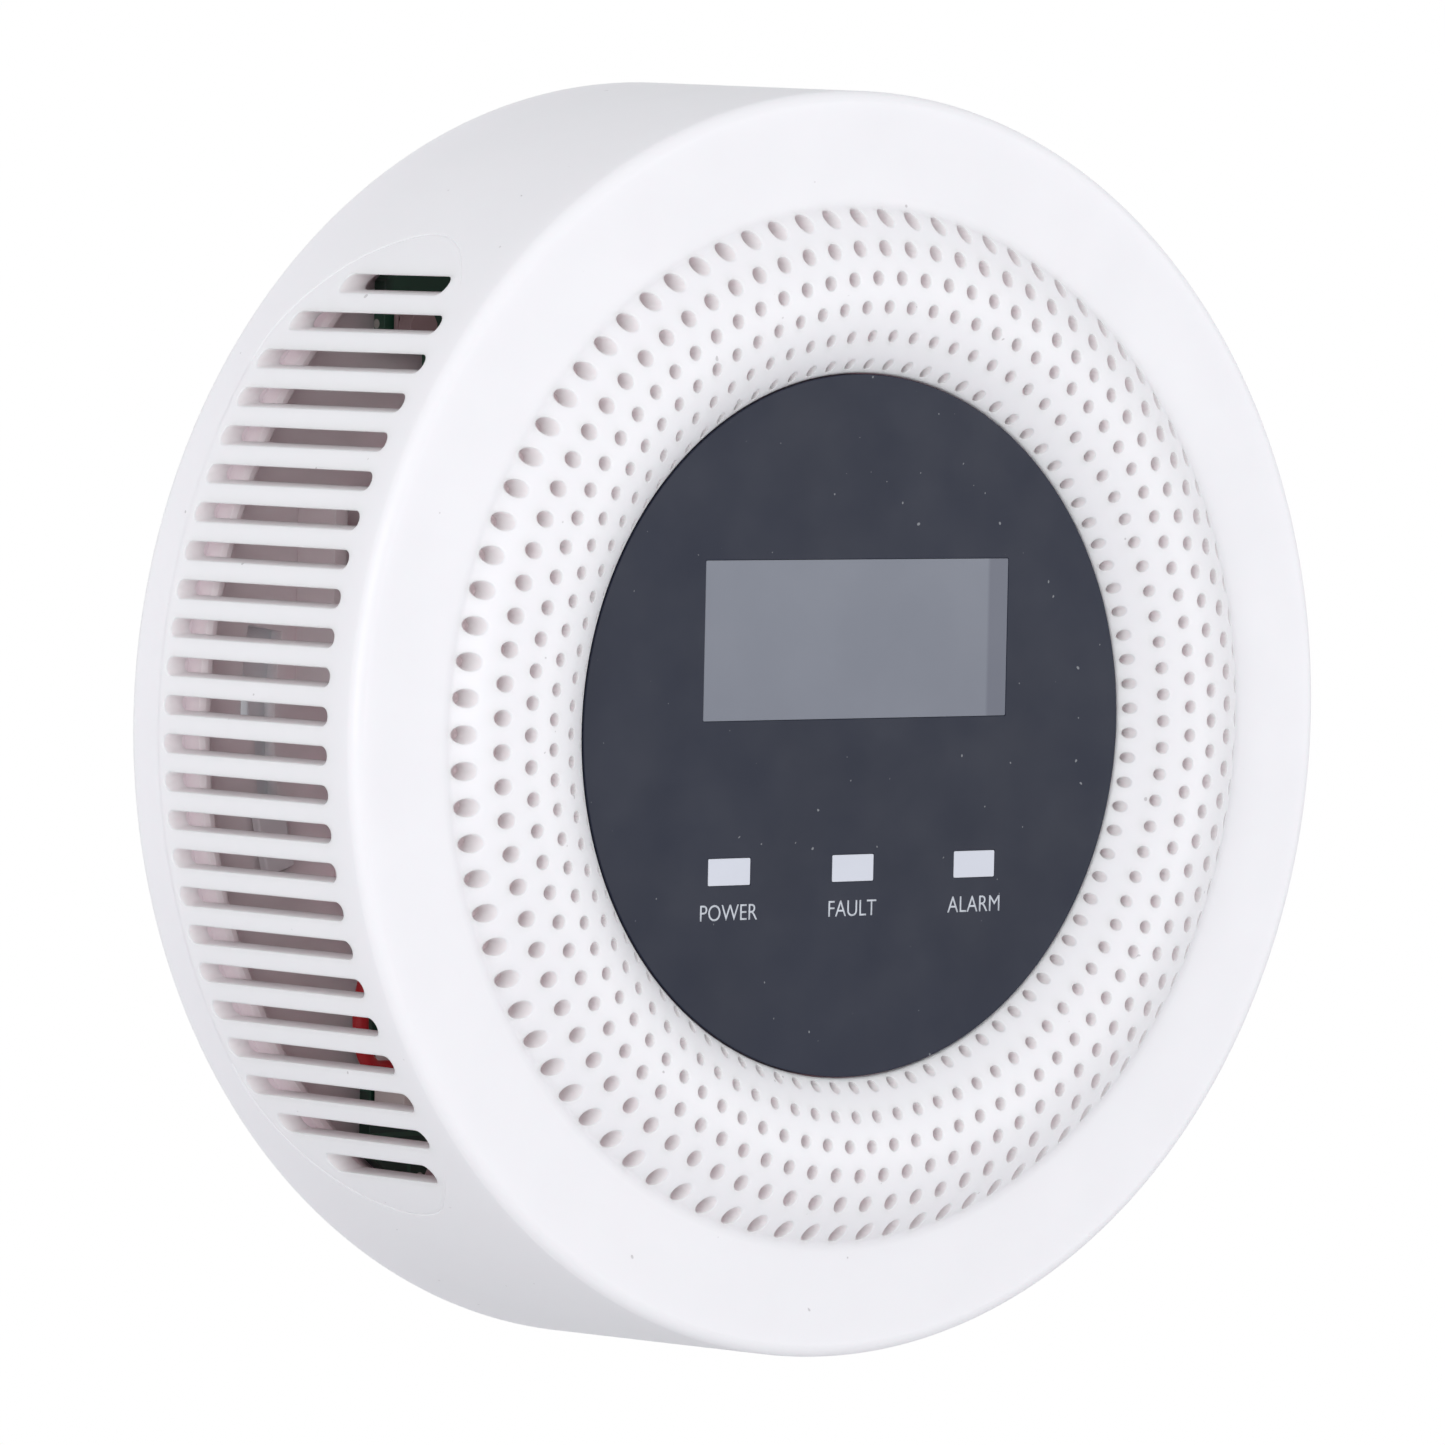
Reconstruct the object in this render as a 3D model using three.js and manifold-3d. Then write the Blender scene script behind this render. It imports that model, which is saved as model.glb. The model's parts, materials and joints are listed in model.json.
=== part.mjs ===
// Round carbon monoxide alarm, battery powered, on a twist-lock wall plate.
//
// Every piece is laid out in the alarm's own frame: +X right and +Y up as seen from the room,
// +Z out of the wall, with the wall at Z = 0. The outer group then turns the alarm so that
// +Z is up and the front faces -Y. Millimetres throughout.

import * as THREE from 'three';
import { mergeVertices } from 'three/addons/utils/BufferGeometryUtils.js';
import Module from 'manifold-3d';

const wasm = await Module();
wasm.setup();

// ---------------------------------------------------------------- overall sizes
const frontDiameter = 115;
const depthOverCells = 17.2;   // flat front ring to the shell's back edge, less the cells' thickness
const wallGap = 1.0;           // the shell's back edge stands this far off the wall
const wallDraft = 0.7;         // the side wall's radius grows this much towards the back
const shellWall = 2.0;
const rimFillet = 1.2;
const fitGap = 0.3;            // between pieces that rest on, or sit in, each other
const roundSegments = 60;

// ---------------------------------------------------------------- front shell
const bulgeInnerRadius = 32.0;
const bulgeWidth = 15.0;
const bulgeHeight = 3.8;
const ledgeWidth = 2.2;        // how far the panel's ledge reaches in from the bulge's foot
const ledgeThickness = 1.6;
const ledgeRoot = 1.6;         // how far the ledge reaches out under the bulge's foot

const louvreCount = 24;
const louvrePitch = 3.43;
const louvreHeight = 1.65;
const louvreCentre = -0.2;
const louvreFront = 3.9;       // slot ends, measured back from the flat front ring
const louvreBack = 26.9;
const louvreFrontInset = [3.6, 1.0];
const louvreBackInset = [4.9, 1.5];

const caseScrewAngles = [60, 120, 240, 300];
const caseScrewInset = 5.7;    // from the side wall's inner face to the screws
const caseBossRadius = 3.2;
const screwClearance = 0.3;    // radial, between a screw and its hole
const caseScrewRadius = 0.95;
const caseScrewHeadRadius = 2.7;
const caseScrewHeadHeight = 1.3;
const caseScrewLength = 13;

// ---------------------------------------------------------------- display panel, the test button
const panelEdgeGap = 0.27;
const panelProud = 0.2;
const panelThickness = 2.0;
const pressTravel = 0.8;
const travelStop = 0.2;        // left between the panel and its ledge at full press
const windowWidth = 36.2;
const windowHeight = 14.5;
const windowY = 7.9;
const ledSpacing = 14.66;
const ledY = -12.9;
const ledOpeningWidth = 5.0;
const ledOpeningHeight = 2.5;
const pressY = -22;
const panelHookAngles = [90, 200, 340];

// ---------------------------------------------------------------- display board and what it carries
const boardThickness = 1.6;
const displayDepth = 5.8;      // from the panel's back to the display board
const displayScrewAngles = [60, 120, 225, 315];
const displayScrewInset = 0.3; // from the bulge's foot to the screws
const displayBoardMargin = 1.7;
const displayScrewRadius = 0.75;
const lcdGlassMargin = 2.2;    // how far the glass reaches past its window, all round
const lcdGlassThickness = 1.6;
const plungerRadius = 1.75;

// ---------------------------------------------------------------- back cover and main board
const coverFloorBack = 3.0;
const coverFloorThickness = 1.5;
const coverSkirtWidth = 1.9;
const coverRimInset = 1.2;
const coverRimWidth = 1.3;
const coverRimTop = 7.0;
const mainBoardBack = 6.3;
const mainBoardLeftEdge = -35.8;
const standoffs = [[-30, 22], [30, 22], [0, -41]];
const standoffRadius = 2.4;
const boardClipYs = [18, -14];
const guideRibX = [-42.6, -41.2];  // stiffens the floor beside the louvres
const guideRibY = [3, 20];
const guideRibHeight = 5.5;

// ---------------------------------------------------------------- pieces on the main board, x and y at their middles
const soundX = 0;
const soundY = 38.5;
const soundRadius = 13.5;
const sensorX = 36;
const sensorY = -2;
const sensorRadius = 10.1;
const controllerAt = [-26.5, 14];
const linkAt = [-24, -2];
const capacitorAt = [24, -32];
const inductorAt = [-33.2, 35.4];
const connectorX = -32.4;
const connectorY = -31.8;
const connectorSide = 6.4;

// ---------------------------------------------------------------- cells, bay and door
const cellRadius = 7.1;
const cellBody = 49.2;
const cellNub = 1.3;
const cellGap = 1.0;
const bayWall = 1.5;
const bayTopY = 22.0;
const baySideGap = 0.6;
const springLength = 4.6;
const contactThickness = 0.4;
const doorThickness = 1.5;
const doorRecess = 0.2;
const hingeBarrelRadius = 1.2;
const hingePinRadius = 0.7;

// ---------------------------------------------------------------- wall plate
const plateThickness = 2.4;
const plateWidth = 10.4;
const plateEdgeGap = 0.6;      // to the back cover's skirt
// The hooks stay clear of the case screws' pads through the whole twist.
const hookAngles = [13, 103, 193, 283];
const hookHalfAngle = 4;
const hookInset = 2.2;         // from the plate's inner edge
const hookPostWidth = 1.6;
const hookFlangeWidth = 3.2;
const hookFlangeThickness = 1.1;
const twistAngle = 18;
const screwSlotWidth = 3.8;
const screwSlotLength = 9;

// ---------------------------------------------------------------- worked-out sizes
const bodyDepth = 2 * cellRadius + depthOverCells;
const frontZ = wallGap + bodyDepth;
const frontRadius = frontDiameter / 2;
const backRadius = frontRadius + wallDraft;
const innerBackRadius = backRadius - shellWall;
const caseScrewCircle = innerBackRadius - caseScrewInset;
const ringUnderside = frontZ - shellWall;
const bulgeHalfWidth = bulgeWidth / 2;
const bulgeMidRadius = bulgeInnerRadius + bulgeHalfWidth;
const bulgeArcRadius = (bulgeHalfWidth ** 2 + bulgeHeight ** 2) / (2 * bulgeHeight);
const bulgeArcZ = frontZ + bulgeHeight - bulgeArcRadius;
const panelFront = frontZ + panelProud;
const panelBack = panelFront - panelThickness;
const panelRadius = bulgeInnerRadius - panelEdgeGap;
const ledgeInnerRadius = bulgeInnerRadius - ledgeWidth;
const ledgeTop = panelBack - pressTravel - travelStop;
const ledgeBottom = ledgeTop - ledgeThickness;
const lcdGlassWidth = windowWidth + 2 * lcdGlassMargin;
const lcdGlassHeight = windowHeight + 2 * lcdGlassMargin;
const displayBoardTop = panelBack - displayDepth;
const displayScrewCircle = bulgeInnerRadius - displayScrewInset;
const displayBoardRadius = displayScrewCircle + displayBoardMargin;
const displayPartsZ = displayBoardTop + fitGap;
const coverSkirtOuterRadius = innerBackRadius - fitGap;
const coverSkirtInnerRadius = coverSkirtOuterRadius - coverSkirtWidth;
const coverRimOuterRadius = innerBackRadius - coverRimInset;
const plateOuterRadius = coverSkirtInnerRadius - plateEdgeGap;
const plateInnerRadius = plateOuterRadius - plateWidth;
const hookInnerRadius = plateInnerRadius + hookInset;
const mainBoardTop = mainBoardBack + boardThickness;
const mainPartsZ = mainBoardTop + fitGap;
const mainBoardRadius = coverRimOuterRadius - coverRimWidth - 0.4;
const coverFloorFront = coverFloorBack + coverFloorThickness;
const padTop = coverFloorFront + 2.0;
const padRadius = caseBossRadius + 1.0;
const cellPitch = 2 * cellRadius + cellGap;
const doorBack = coverFloorBack + doorRecess;
const doorFront = doorBack + doorThickness;
const cellZ = doorFront + fitGap + cellRadius + 0.2;
const bayRoofZ = cellZ + cellRadius + 0.6;
const bayHalfWidth = cellPitch / 2 + cellRadius + baySideGap;
const bayLength = cellBody + cellNub + springLength + 2 * contactThickness + 5 * fitGap;
const bayBottomY = bayTopY - bayLength;
const hingeY = bayBottomY + fitGap + hingeBarrelRadius;
const hingeZ = doorBack + hingeBarrelRadius;
const contactHalfWidth = cellRadius - 1.0;
const contactLow = cellZ - 6.0;
const contactHigh = cellZ + 5.7;
const stripHigh = bayRoofZ - 0.25;
const stripLow = stripHigh - 1.1;
const lowerContactY = bayBottomY + fitGap;
const tailEnd = bayHalfWidth + bayWall + 2.2;
const soundCupTop = mainPartsZ + 9.3;
const piezoLedge = mainPartsZ + 4.0;
const sensorCanTop = mainPartsZ + 11.8;
const leadZ = mainPartsZ + 2.1;
const leadStart = -tailEnd - fitGap - 0.1;
const openEnd = 1.0;           // cutters run this far past the faces that they open

// ---------------------------------------------------------------- solids, and the joins and cuts between them
function toSolid(geometry) {
  const bare = geometry.clone();
  bare.deleteAttribute('normal');
  bare.deleteAttribute('uv');
  const merged = mergeVertices(bare, 1e-4);
  const index = merged.index.array;
  const kept = [];
  for (let i = 0; i < index.length; i += 3) {
    const [a, b, c] = [index[i], index[i + 1], index[i + 2]];
    if (a !== b && b !== c && c !== a) kept.push(a, b, c);
  }
  return new wasm.Manifold(new wasm.Mesh({
    numProp: 3,
    vertProperties: new Float32Array(merged.attributes.position.array),
    triVerts: new Uint32Array(kept),
  }));
}

function toGeometry(solid) {
  const { numProp, vertProperties, triVerts } = solid.getMesh();
  const points = new Float32Array(vertProperties.length / numProp * 3);
  for (let i = 0; i < points.length / 3; i += 1) {
    points.set(vertProperties.subarray(i * numProp, i * numProp + 3), i * 3);
  }
  const geometry = new THREE.BufferGeometry();
  geometry.setAttribute('position', new THREE.BufferAttribute(points, 3));
  geometry.setIndex(new THREE.BufferAttribute(new Uint32Array(triVerts), 1));
  geometry.computeVertexNormals();
  return geometry;
}

function joined(first, ...others) {
  return others.reduce((whole, piece) => whole.add(piece), first);
}

function cutBy(first, cutters) {
  return cutters.reduce((rest, cutter) => rest.subtract(cutter), first);
}

const degrees = (angle) => THREE.MathUtils.degToRad(angle);

function onCircle(radius, angle) {
  return [radius * Math.cos(degrees(angle)), radius * Math.sin(degrees(angle))];
}

// A closed profile of [radius, z] points, turned about the alarm's axis. It runs up the outside
// and comes back down the inside.
function turned(profile, segments = roundSegments) {
  const points = [...profile, profile[0]].map(([r, z]) => new THREE.Vector2(r, z));
  return toSolid(new THREE.LatheGeometry(points, segments).rotateX(Math.PI / 2));
}

// Points along an arc in the [radius, z] plane, angles in degrees from the radial direction.
function arc(centre, radius, from, to, steps) {
  return Array.from({ length: steps + 1 }, (_, i) => {
    const angle = degrees(from + (to - from) * i / steps);
    return [centre[0] + radius * Math.cos(angle), centre[1] + radius * Math.sin(angle)];
  });
}

function block(x0, x1, y0, y1, z0, z1) {
  const box = new THREE.BoxGeometry(x1 - x0, y1 - y0, z1 - z0);
  return toSolid(box.translate((x0 + x1) / 2, (y0 + y1) / 2, (z0 + z1) / 2));
}

function centredBlock(x, y, width, height, z0, z1) {
  return block(x - width / 2, x + width / 2, y - height / 2, y + height / 2, z0, z1);
}

// A round post or bore along Z.
function post(x, y, radius, z0, z1, segments = 20) {
  const round = new THREE.CylinderGeometry(radius, radius, z1 - z0, segments);
  return toSolid(round.rotateX(Math.PI / 2).translate(x, y, (z0 + z1) / 2));
}

// A round bar or bore along X.
function crossBar(y, z, radius, x0, x1, segments = 16) {
  const round = new THREE.CylinderGeometry(radius, radius, x1 - x0, segments);
  return toSolid(round.rotateZ(Math.PI / 2).translate((x0 + x1) / 2, y, z));
}

function sheet(outline, z0, z1, curveSegments = 6) {
  const options = { depth: z1 - z0, bevelEnabled: false, curveSegments };
  return toSolid(new THREE.ExtrudeGeometry(outline, options).translate(0, 0, z0));
}

// A slot with round ends, long in X.
function roundEndedSlot(x, y, length, width) {
  const reach = (length - width) / 2;
  const outline = new THREE.Shape();
  outline.absarc(x + reach, y, width / 2, -Math.PI / 2, Math.PI / 2);
  outline.absarc(x - reach, y, width / 2, Math.PI / 2, Math.PI * 1.5);
  return outline;
}

function sector(innerRadius, outerRadius, fromAngle, toAngle) {
  const outline = new THREE.Shape();
  outline.absarc(0, 0, outerRadius, degrees(fromAngle), degrees(toAngle));
  outline.absarc(0, 0, innerRadius, degrees(toAngle), degrees(fromAngle), true);
  return outline;
}

// Inside radius of the shell's side wall at a given height off the wall.
function shellInnerRadius(z) {
  const share = (z - wallGap) / (frontZ - rimFillet - wallGap);
  return innerBackRadius - wallDraft * share;
}

// Height of the underside of the shell's front: the bulge's inner arc, or the flat ring outside it.
function shellUnderside(radius) {
  const innerArcRadius = bulgeArcRadius - shellWall;
  const offset = Math.abs(radius - bulgeMidRadius);
  if (offset >= innerArcRadius) return ringUnderside;
  return Math.max(ringUnderside, bulgeArcZ + Math.sqrt(innerArcRadius ** 2 - offset ** 2));
}

// ---------------------------------------------------------------- front shell
function frontShellProfile() {
  const outerFoot = THREE.MathUtils.radToDeg(Math.asin((frontZ - bulgeArcZ) / bulgeArcRadius));
  const innerArcRadius = bulgeArcRadius - shellWall;
  const ledgeOuterRadius = bulgeInnerRadius + ledgeRoot;
  const underLedge = THREE.MathUtils.radToDeg(
    Math.acos((ledgeOuterRadius - bulgeMidRadius) / innerArcRadius));
  const underRing = THREE.MathUtils.radToDeg(
    Math.asin((ringUnderside - bulgeArcZ) / innerArcRadius));
  const bulgeCentre = [bulgeMidRadius, bulgeArcZ];
  const filletCentre = [frontRadius - rimFillet, frontZ - rimFillet];
  return [
    [backRadius, wallGap],
    ...arc(filletCentre, rimFillet, 0, 90, 2),
    ...arc(bulgeCentre, bulgeArcRadius, outerFoot, 180 - outerFoot, 6),
    [bulgeInnerRadius, ledgeTop],
    [ledgeInnerRadius, ledgeTop],
    [ledgeInnerRadius, ledgeBottom],
    [ledgeOuterRadius, ledgeBottom],
    ...arc(bulgeCentre, innerArcRadius, underLedge, underRing, 3),
    [shellInnerRadius(ringUnderside), ringUnderside],
    [innerBackRadius, wallGap],
  ];
}

function louvreCutter(row, side) {
  const fromEnd = Math.min(row, louvreCount - 1 - row);
  const zHigh = frontZ - louvreFront - (louvreFrontInset[fromEnd] ?? 0);
  const zLow = frontZ - louvreBack + (louvreBackInset[fromEnd] ?? 0);
  const y = louvreCentre + louvrePitch * ((louvreCount - 1) / 2 - row);
  const reachIn = Math.sqrt(shellInnerRadius(zLow) ** 2 - (Math.abs(y) + louvreHeight) ** 2) - openEnd;
  const reachOut = backRadius + openEnd;
  const outline = roundEndedSlot((zHigh + zLow) / 2, y, zHigh - zLow, louvreHeight);
  const options = { depth: reachOut - reachIn, bevelEnabled: false, curveSegments: 2 };
  const cutter = new THREE.ExtrudeGeometry(outline, options).rotateY(-Math.PI / 2);
  return toSolid(cutter.translate(side < 0 ? -reachIn : reachOut, 0, 0));
}

function frontShell() {
  let shell = turned(frontShellProfile());
  const bossStart = padTop + fitGap;
  const bossTop = shellUnderside(caseScrewCircle) + shellWall / 4;
  for (const angle of caseScrewAngles) {
    const [x, y] = onCircle(caseScrewCircle, angle);
    const bore = post(x, y, caseScrewRadius + screwClearance, bossStart - openEnd, bossStart + caseScrewLength, 12);
    shell = shell.add(post(x, y, caseBossRadius, bossStart, bossTop)).subtract(bore);
  }
  for (const angle of displayScrewAngles) {
    const [x, y] = onCircle(displayScrewCircle, angle);
    const boss = post(x, y, 2.0, displayPartsZ, ledgeBottom + ledgeThickness / 2, 14);
    const bore = post(x, y, displayScrewRadius + screwClearance, displayPartsZ - openEnd, ledgeBottom, 10);
    shell = shell.add(boss).subtract(bore);
  }
  for (let row = 0; row < louvreCount; row += 1) {
    shell = shell.subtract(louvreCutter(row, -1)).subtract(louvreCutter(row, 1));
  }
  return shell;
}

// A soft ring of filter cloth behind the perforated bulge keeps dust and insects out.
function dustFilter() {
  const innerRadius = bulgeInnerRadius + ledgeRoot + 0.4;
  const outerRadius = caseScrewCircle - caseBossRadius - 0.5;
  const top = ringUnderside - fitGap;
  return turned([[outerRadius, top - 0.6], [outerRadius, top], [innerRadius, top], [innerRadius, top - 0.6]], 40);
}

// ---------------------------------------------------------------- display panel and its windows
function displayPanel() {
  const disc = post(0, 0, panelRadius, panelBack, panelFront, roundSegments);
  const pressBoss = post(0, pressY, 2.0, panelBack - 1.25, panelBack + 0.5);
  const hooks = panelHookAngles.map((angle) => {
    const inner = ledgeInnerRadius - 1.8;
    const leg = block(inner, inner + 1.4, -2.5, 2.5, ledgeBottom - 1.3, panelBack + 0.5);
    const barb = block(inner, ledgeInnerRadius + 0.8, -2.5, 2.5, ledgeBottom - 1.3, ledgeBottom - fitGap);
    return leg.add(barb).rotate([0, 0, angle]);
  });
  const openings = [
    centredBlock(0, windowY, windowWidth, windowHeight, panelBack - openEnd, panelFront + openEnd),
    ...[-1, 0, 1].map((i) => centredBlock(
      i * ledSpacing, ledY, ledOpeningWidth, ledOpeningHeight, panelBack - openEnd, panelFront + openEnd)),
  ];
  return cutBy(joined(disc, pressBoss, ...hooks), openings);
}

// A clear insert: a raised pane that fills an opening in the panel, on a wider flange behind it.
function paneInsert(x, y, width, height, flangeReach, recess, tail) {
  const flangeTop = panelBack - fitGap;
  const pane = centredBlock(x, y, width - 2 * fitGap, height - 2 * fitGap, flangeTop - 0.1, panelFront - recess);
  const flange = centredBlock(x, y, width + 2 * flangeReach, height + 2 * flangeReach, flangeTop - 0.9, flangeTop);
  const stem = centredBlock(x, y, width - 2 * fitGap, height - 2 * fitGap, flangeTop - 0.8 - tail, flangeTop - 0.5);
  return joined(pane, flange, stem);
}

const lcdWindow = () => paneInsert(0, windowY, windowWidth, windowHeight, 1.9, 0.3, 0);
const lightPipe = (i) => paneInsert(i * ledSpacing, ledY, ledOpeningWidth, ledOpeningHeight, 0.7, 0.2, 1.5);

// ---------------------------------------------------------------- display board
function displayBoard() {
  const board = post(0, 0, displayBoardRadius, displayBoardTop - boardThickness, displayBoardTop, 48);
  return cutBy(board, displayScrewAngles.map((angle) => {
    const [x, y] = onCircle(displayScrewCircle, angle);
    return post(x, y, displayScrewRadius + screwClearance, displayBoardTop - 3, displayBoardTop + 1, 10);
  }));
}

function screw(shankRadius, headRadius, headHeight, length) {
  const head = post(0, 0, headRadius, 0, headHeight, 16);
  const shank = post(0, 0, shankRadius, headHeight - 0.2, headHeight + length, 10);
  const slotA = centredBlock(0, 0, headRadius * 1.2, 0.6, -openEnd, headHeight * 0.55);
  const slotB = centredBlock(0, 0, 0.6, headRadius * 1.2, -openEnd, headHeight * 0.55);
  return cutBy(head.add(shank), [slotA, slotB]);
}

function lcdHolder() {
  const wall = 1.2;
  const floorTop = displayPartsZ + 1.1;
  const outerWidth = lcdGlassWidth + 2 * (fitGap + wall);
  const outerHeight = lcdGlassHeight + 2 * (fitGap + wall);
  const frame = centredBlock(0, windowY, outerWidth, outerHeight, displayPartsZ, floorTop + lcdGlassThickness);
  const pocket = centredBlock(0, windowY, lcdGlassWidth + 2 * fitGap, lcdGlassHeight + 2 * fitGap,
    floorTop, floorTop + lcdGlassThickness + openEnd);
  return frame.subtract(pocket);
}

function lcdGlass() {
  const bottom = displayPartsZ + 1.1 + fitGap;
  return centredBlock(0, windowY, lcdGlassWidth, lcdGlassHeight, bottom, bottom + lcdGlassThickness);
}

function led(i) {
  const body = centredBlock(i * ledSpacing, ledY, 3.5, 2.8, displayPartsZ, displayPartsZ + 1.8);
  const well = post(i * ledSpacing, ledY, 1.1, displayPartsZ + 1.2, displayPartsZ + 3, 12);
  return body.subtract(well);
}

function switchBody() {
  const body = centredBlock(0, pressY, 6, 6, displayPartsZ, displayPartsZ + 2.5);
  const well = post(0, pressY, plungerRadius + fitGap, displayPartsZ + 0.6, displayPartsZ + 4);
  return body.subtract(well);
}

const switchPlunger = () => post(0, pressY, plungerRadius, displayPartsZ + 1.3, panelBack - 1.6);

// ---------------------------------------------------------------- wall plate
function wallPlate() {
  const ring = turned([
    [plateOuterRadius, 0], [plateOuterRadius, plateThickness],
    [plateInnerRadius, plateThickness], [plateInnerRadius, 0],
  ]);
  const flangeBack = coverFloorFront + fitGap;
  const flangeFront = flangeBack + hookFlangeThickness;
  const hooks = hookAngles.flatMap((angle) => {
    const [from, to] = [angle - hookHalfAngle, angle + hookHalfAngle];
    const leg = sector(hookInnerRadius, hookInnerRadius + hookPostWidth, from, to);
    const flange = sector(hookInnerRadius, hookInnerRadius + hookFlangeWidth, from, to);
    return [sheet(leg, plateThickness / 2, flangeFront, 2), sheet(flange, flangeBack, flangeFront, 2)];
  });
  const slotCircle = (plateInnerRadius + plateOuterRadius) / 2;
  const slots = [0, 90, 180, 270].map((angle) => {
    const outline = roundEndedSlot(0, slotCircle, screwSlotLength, screwSlotWidth);
    return sheet(outline, -openEnd, plateThickness + openEnd, 3).rotate([0, 0, angle]);
  });
  return cutBy(joined(ring, ...hooks), slots);
}

// ---------------------------------------------------------------- back cover
function coverTurnedBody() {
  const skirtBack = wallGap + 0.2;
  const rimInnerRadius = coverRimOuterRadius - coverRimWidth;
  return turned([
    [coverSkirtOuterRadius, skirtBack], [coverSkirtOuterRadius, coverFloorFront],
    [coverRimOuterRadius, coverFloorFront], [coverRimOuterRadius, coverRimTop - 0.4],
    [coverRimOuterRadius - 0.4, coverRimTop], [rimInnerRadius + 0.4, coverRimTop],
    [rimInnerRadius, coverRimTop - 0.4], [rimInnerRadius, coverFloorFront],
    [0, coverFloorFront], [0, coverFloorBack],
    [coverSkirtInnerRadius, coverFloorBack], [coverSkirtInnerRadius, skirtBack],
  ]);
}

// The arc slot that lets a hook in at the unlocked angle and holds its flange at the locked one.
function hookSlot(angle) {
  const play = 0.3;
  const [z0, z1] = [coverFloorBack - openEnd, coverFloorFront + openEnd];
  const narrow = sector(hookInnerRadius - play, hookInnerRadius + hookPostWidth + play,
    angle - twistAngle - hookHalfAngle - 1, angle + hookHalfAngle + 0.6);
  const wide = sector(hookInnerRadius - play, hookInnerRadius + hookFlangeWidth + play,
    angle - twistAngle - hookHalfAngle - 1, angle - twistAngle + hookHalfAngle + 1);
  return [sheet(narrow, z0, z1, 4), sheet(wide, z0, z1, 2)];
}

function bayBox() {
  const outer = bayHalfWidth + bayWall;
  return block(-outer, outer, bayBottomY - bayWall, bayTopY + bayWall, coverFloorBack, bayRoofZ + bayWall);
}

function boardClip(y) {
  const x = mainBoardLeftEdge - fitGap;
  const stem = block(x - 1.6, x, y - 2.5, y + 2.5, coverFloorFront - 0.3, mainBoardTop + fitGap + 1.0);
  const lip = block(x - 0.5, x + 0.9, y - 2.5, y + 2.5, mainBoardTop + fitGap, mainBoardTop + fitGap + 1.0);
  return stem.add(lip);
}

function backCover() {
  let cover = coverTurnedBody();
  const guideRib = block(...guideRibX, ...guideRibY, coverFloorFront - 0.3, coverFloorFront + guideRibHeight);
  cover = joined(cover, bayBox(), guideRib, ...boardClipYs.map(boardClip));
  for (const [x, y] of standoffs) {
    cover = cover.add(post(x, y, standoffRadius, coverFloorFront - 0.3, mainBoardBack - fitGap, 14));
  }
  for (const angle of caseScrewAngles) {
    const [x, y] = onCircle(caseScrewCircle, angle);
    const counterbore = post(x, y, caseScrewHeadRadius + screwClearance,
      coverFloorBack - openEnd, coverFloorBack + 0.3 + caseScrewHeadHeight + fitGap, 16);
    const hole = post(x, y, caseScrewRadius + screwClearance, coverFloorBack, padTop + openEnd, 12);
    cover = cutBy(cover.add(post(x, y, padRadius, coverFloorBack + 0.1, padTop)), [counterbore, hole]);
  }
  cover = cutBy(cover, hookAngles.flatMap(hookSlot));
  const inside = block(-bayHalfWidth, bayHalfWidth, bayBottomY, bayTopY, coverFloorBack - openEnd, bayRoofZ);
  const pinHoles = crossBar(hingeY, hingeZ, hingePinRadius + fitGap,
    -bayHalfWidth - bayWall - openEnd, bayHalfWidth + bayWall + openEnd);
  return cutBy(cover, [inside, pinHoles, ...tailSlots()]);
}

// ---------------------------------------------------------------- cells, contacts and springs
function tailSlots() {
  const [x0, x1] = [-bayHalfWidth - bayWall - openEnd, -bayHalfWidth + openEnd];
  const [y0, y1] = [lowerContactY - 0.25, lowerContactY + contactThickness + fitGap];
  return [
    block(x0, x1, y0, y1, cellZ - 1.5 - fitGap, cellZ + 1.5 + fitGap),
    block(x0, x1, y0, y1, stripLow - fitGap, stripHigh + 0.2),
  ];
}

function contactNegative() {
  const y1 = lowerContactY + contactThickness;
  const plate = block(-cellPitch / 2 - contactHalfWidth, -cellPitch / 2 + contactHalfWidth,
    lowerContactY, y1, contactLow, contactHigh);
  return plate.add(block(-tailEnd, -cellPitch / 2, lowerContactY, y1, cellZ - 1.5, cellZ + 1.5));
}

function contactPositive() {
  const y1 = lowerContactY + contactThickness;
  const plate = block(cellPitch / 2 - contactHalfWidth, cellPitch / 2 + contactHalfWidth,
    lowerContactY, y1, contactLow, stripHigh);
  return plate.add(block(-tailEnd, cellPitch / 2, lowerContactY, y1, stripLow, stripHigh));
}

function contactBridge() {
  const y1 = bayTopY - fitGap;
  return block(-cellPitch / 2 - contactHalfWidth, cellPitch / 2 + contactHalfWidth,
    y1 - contactThickness, y1, contactLow, contactHigh);
}

// One cell, standing on its flat end at the origin and pointing along +Y.
function cell() {
  const top = cellBody;
  const rim = 0.6;
  const profile = [
    [0, 0], [cellRadius - rim, 0], [cellRadius, rim], [cellRadius, top - rim], [cellRadius - rim, top],
    [2.75, top], [2.75, top + cellNub], [0, top + cellNub],
  ].map(([r, y]) => new THREE.Vector2(r, y));
  return toSolid(new THREE.LatheGeometry(profile, 28));
}

// A conical contact spring, wide coil first, from the origin along +Y.
class SpringPath extends THREE.Curve {
  getPoint(t, target = new THREE.Vector3()) {
    const turns = 3.5;
    const wire = 0.35;
    const radius = 4.2 - 1.4 * t;
    const angle = 2 * Math.PI * turns * t;
    const y = wire + (springLength - 2 * wire) * t;
    return target.set(radius * Math.cos(angle), y, radius * Math.sin(angle));
  }
}

function wireSection(radius, sides) {
  const section = new THREE.Shape();
  for (let i = 0; i < sides; i += 1) {
    const [x, y] = onCircle(radius, 360 * i / sides);
    if (i === 0) section.moveTo(x, y);
    else section.lineTo(x, y);
  }
  section.closePath();
  return section;
}

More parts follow.
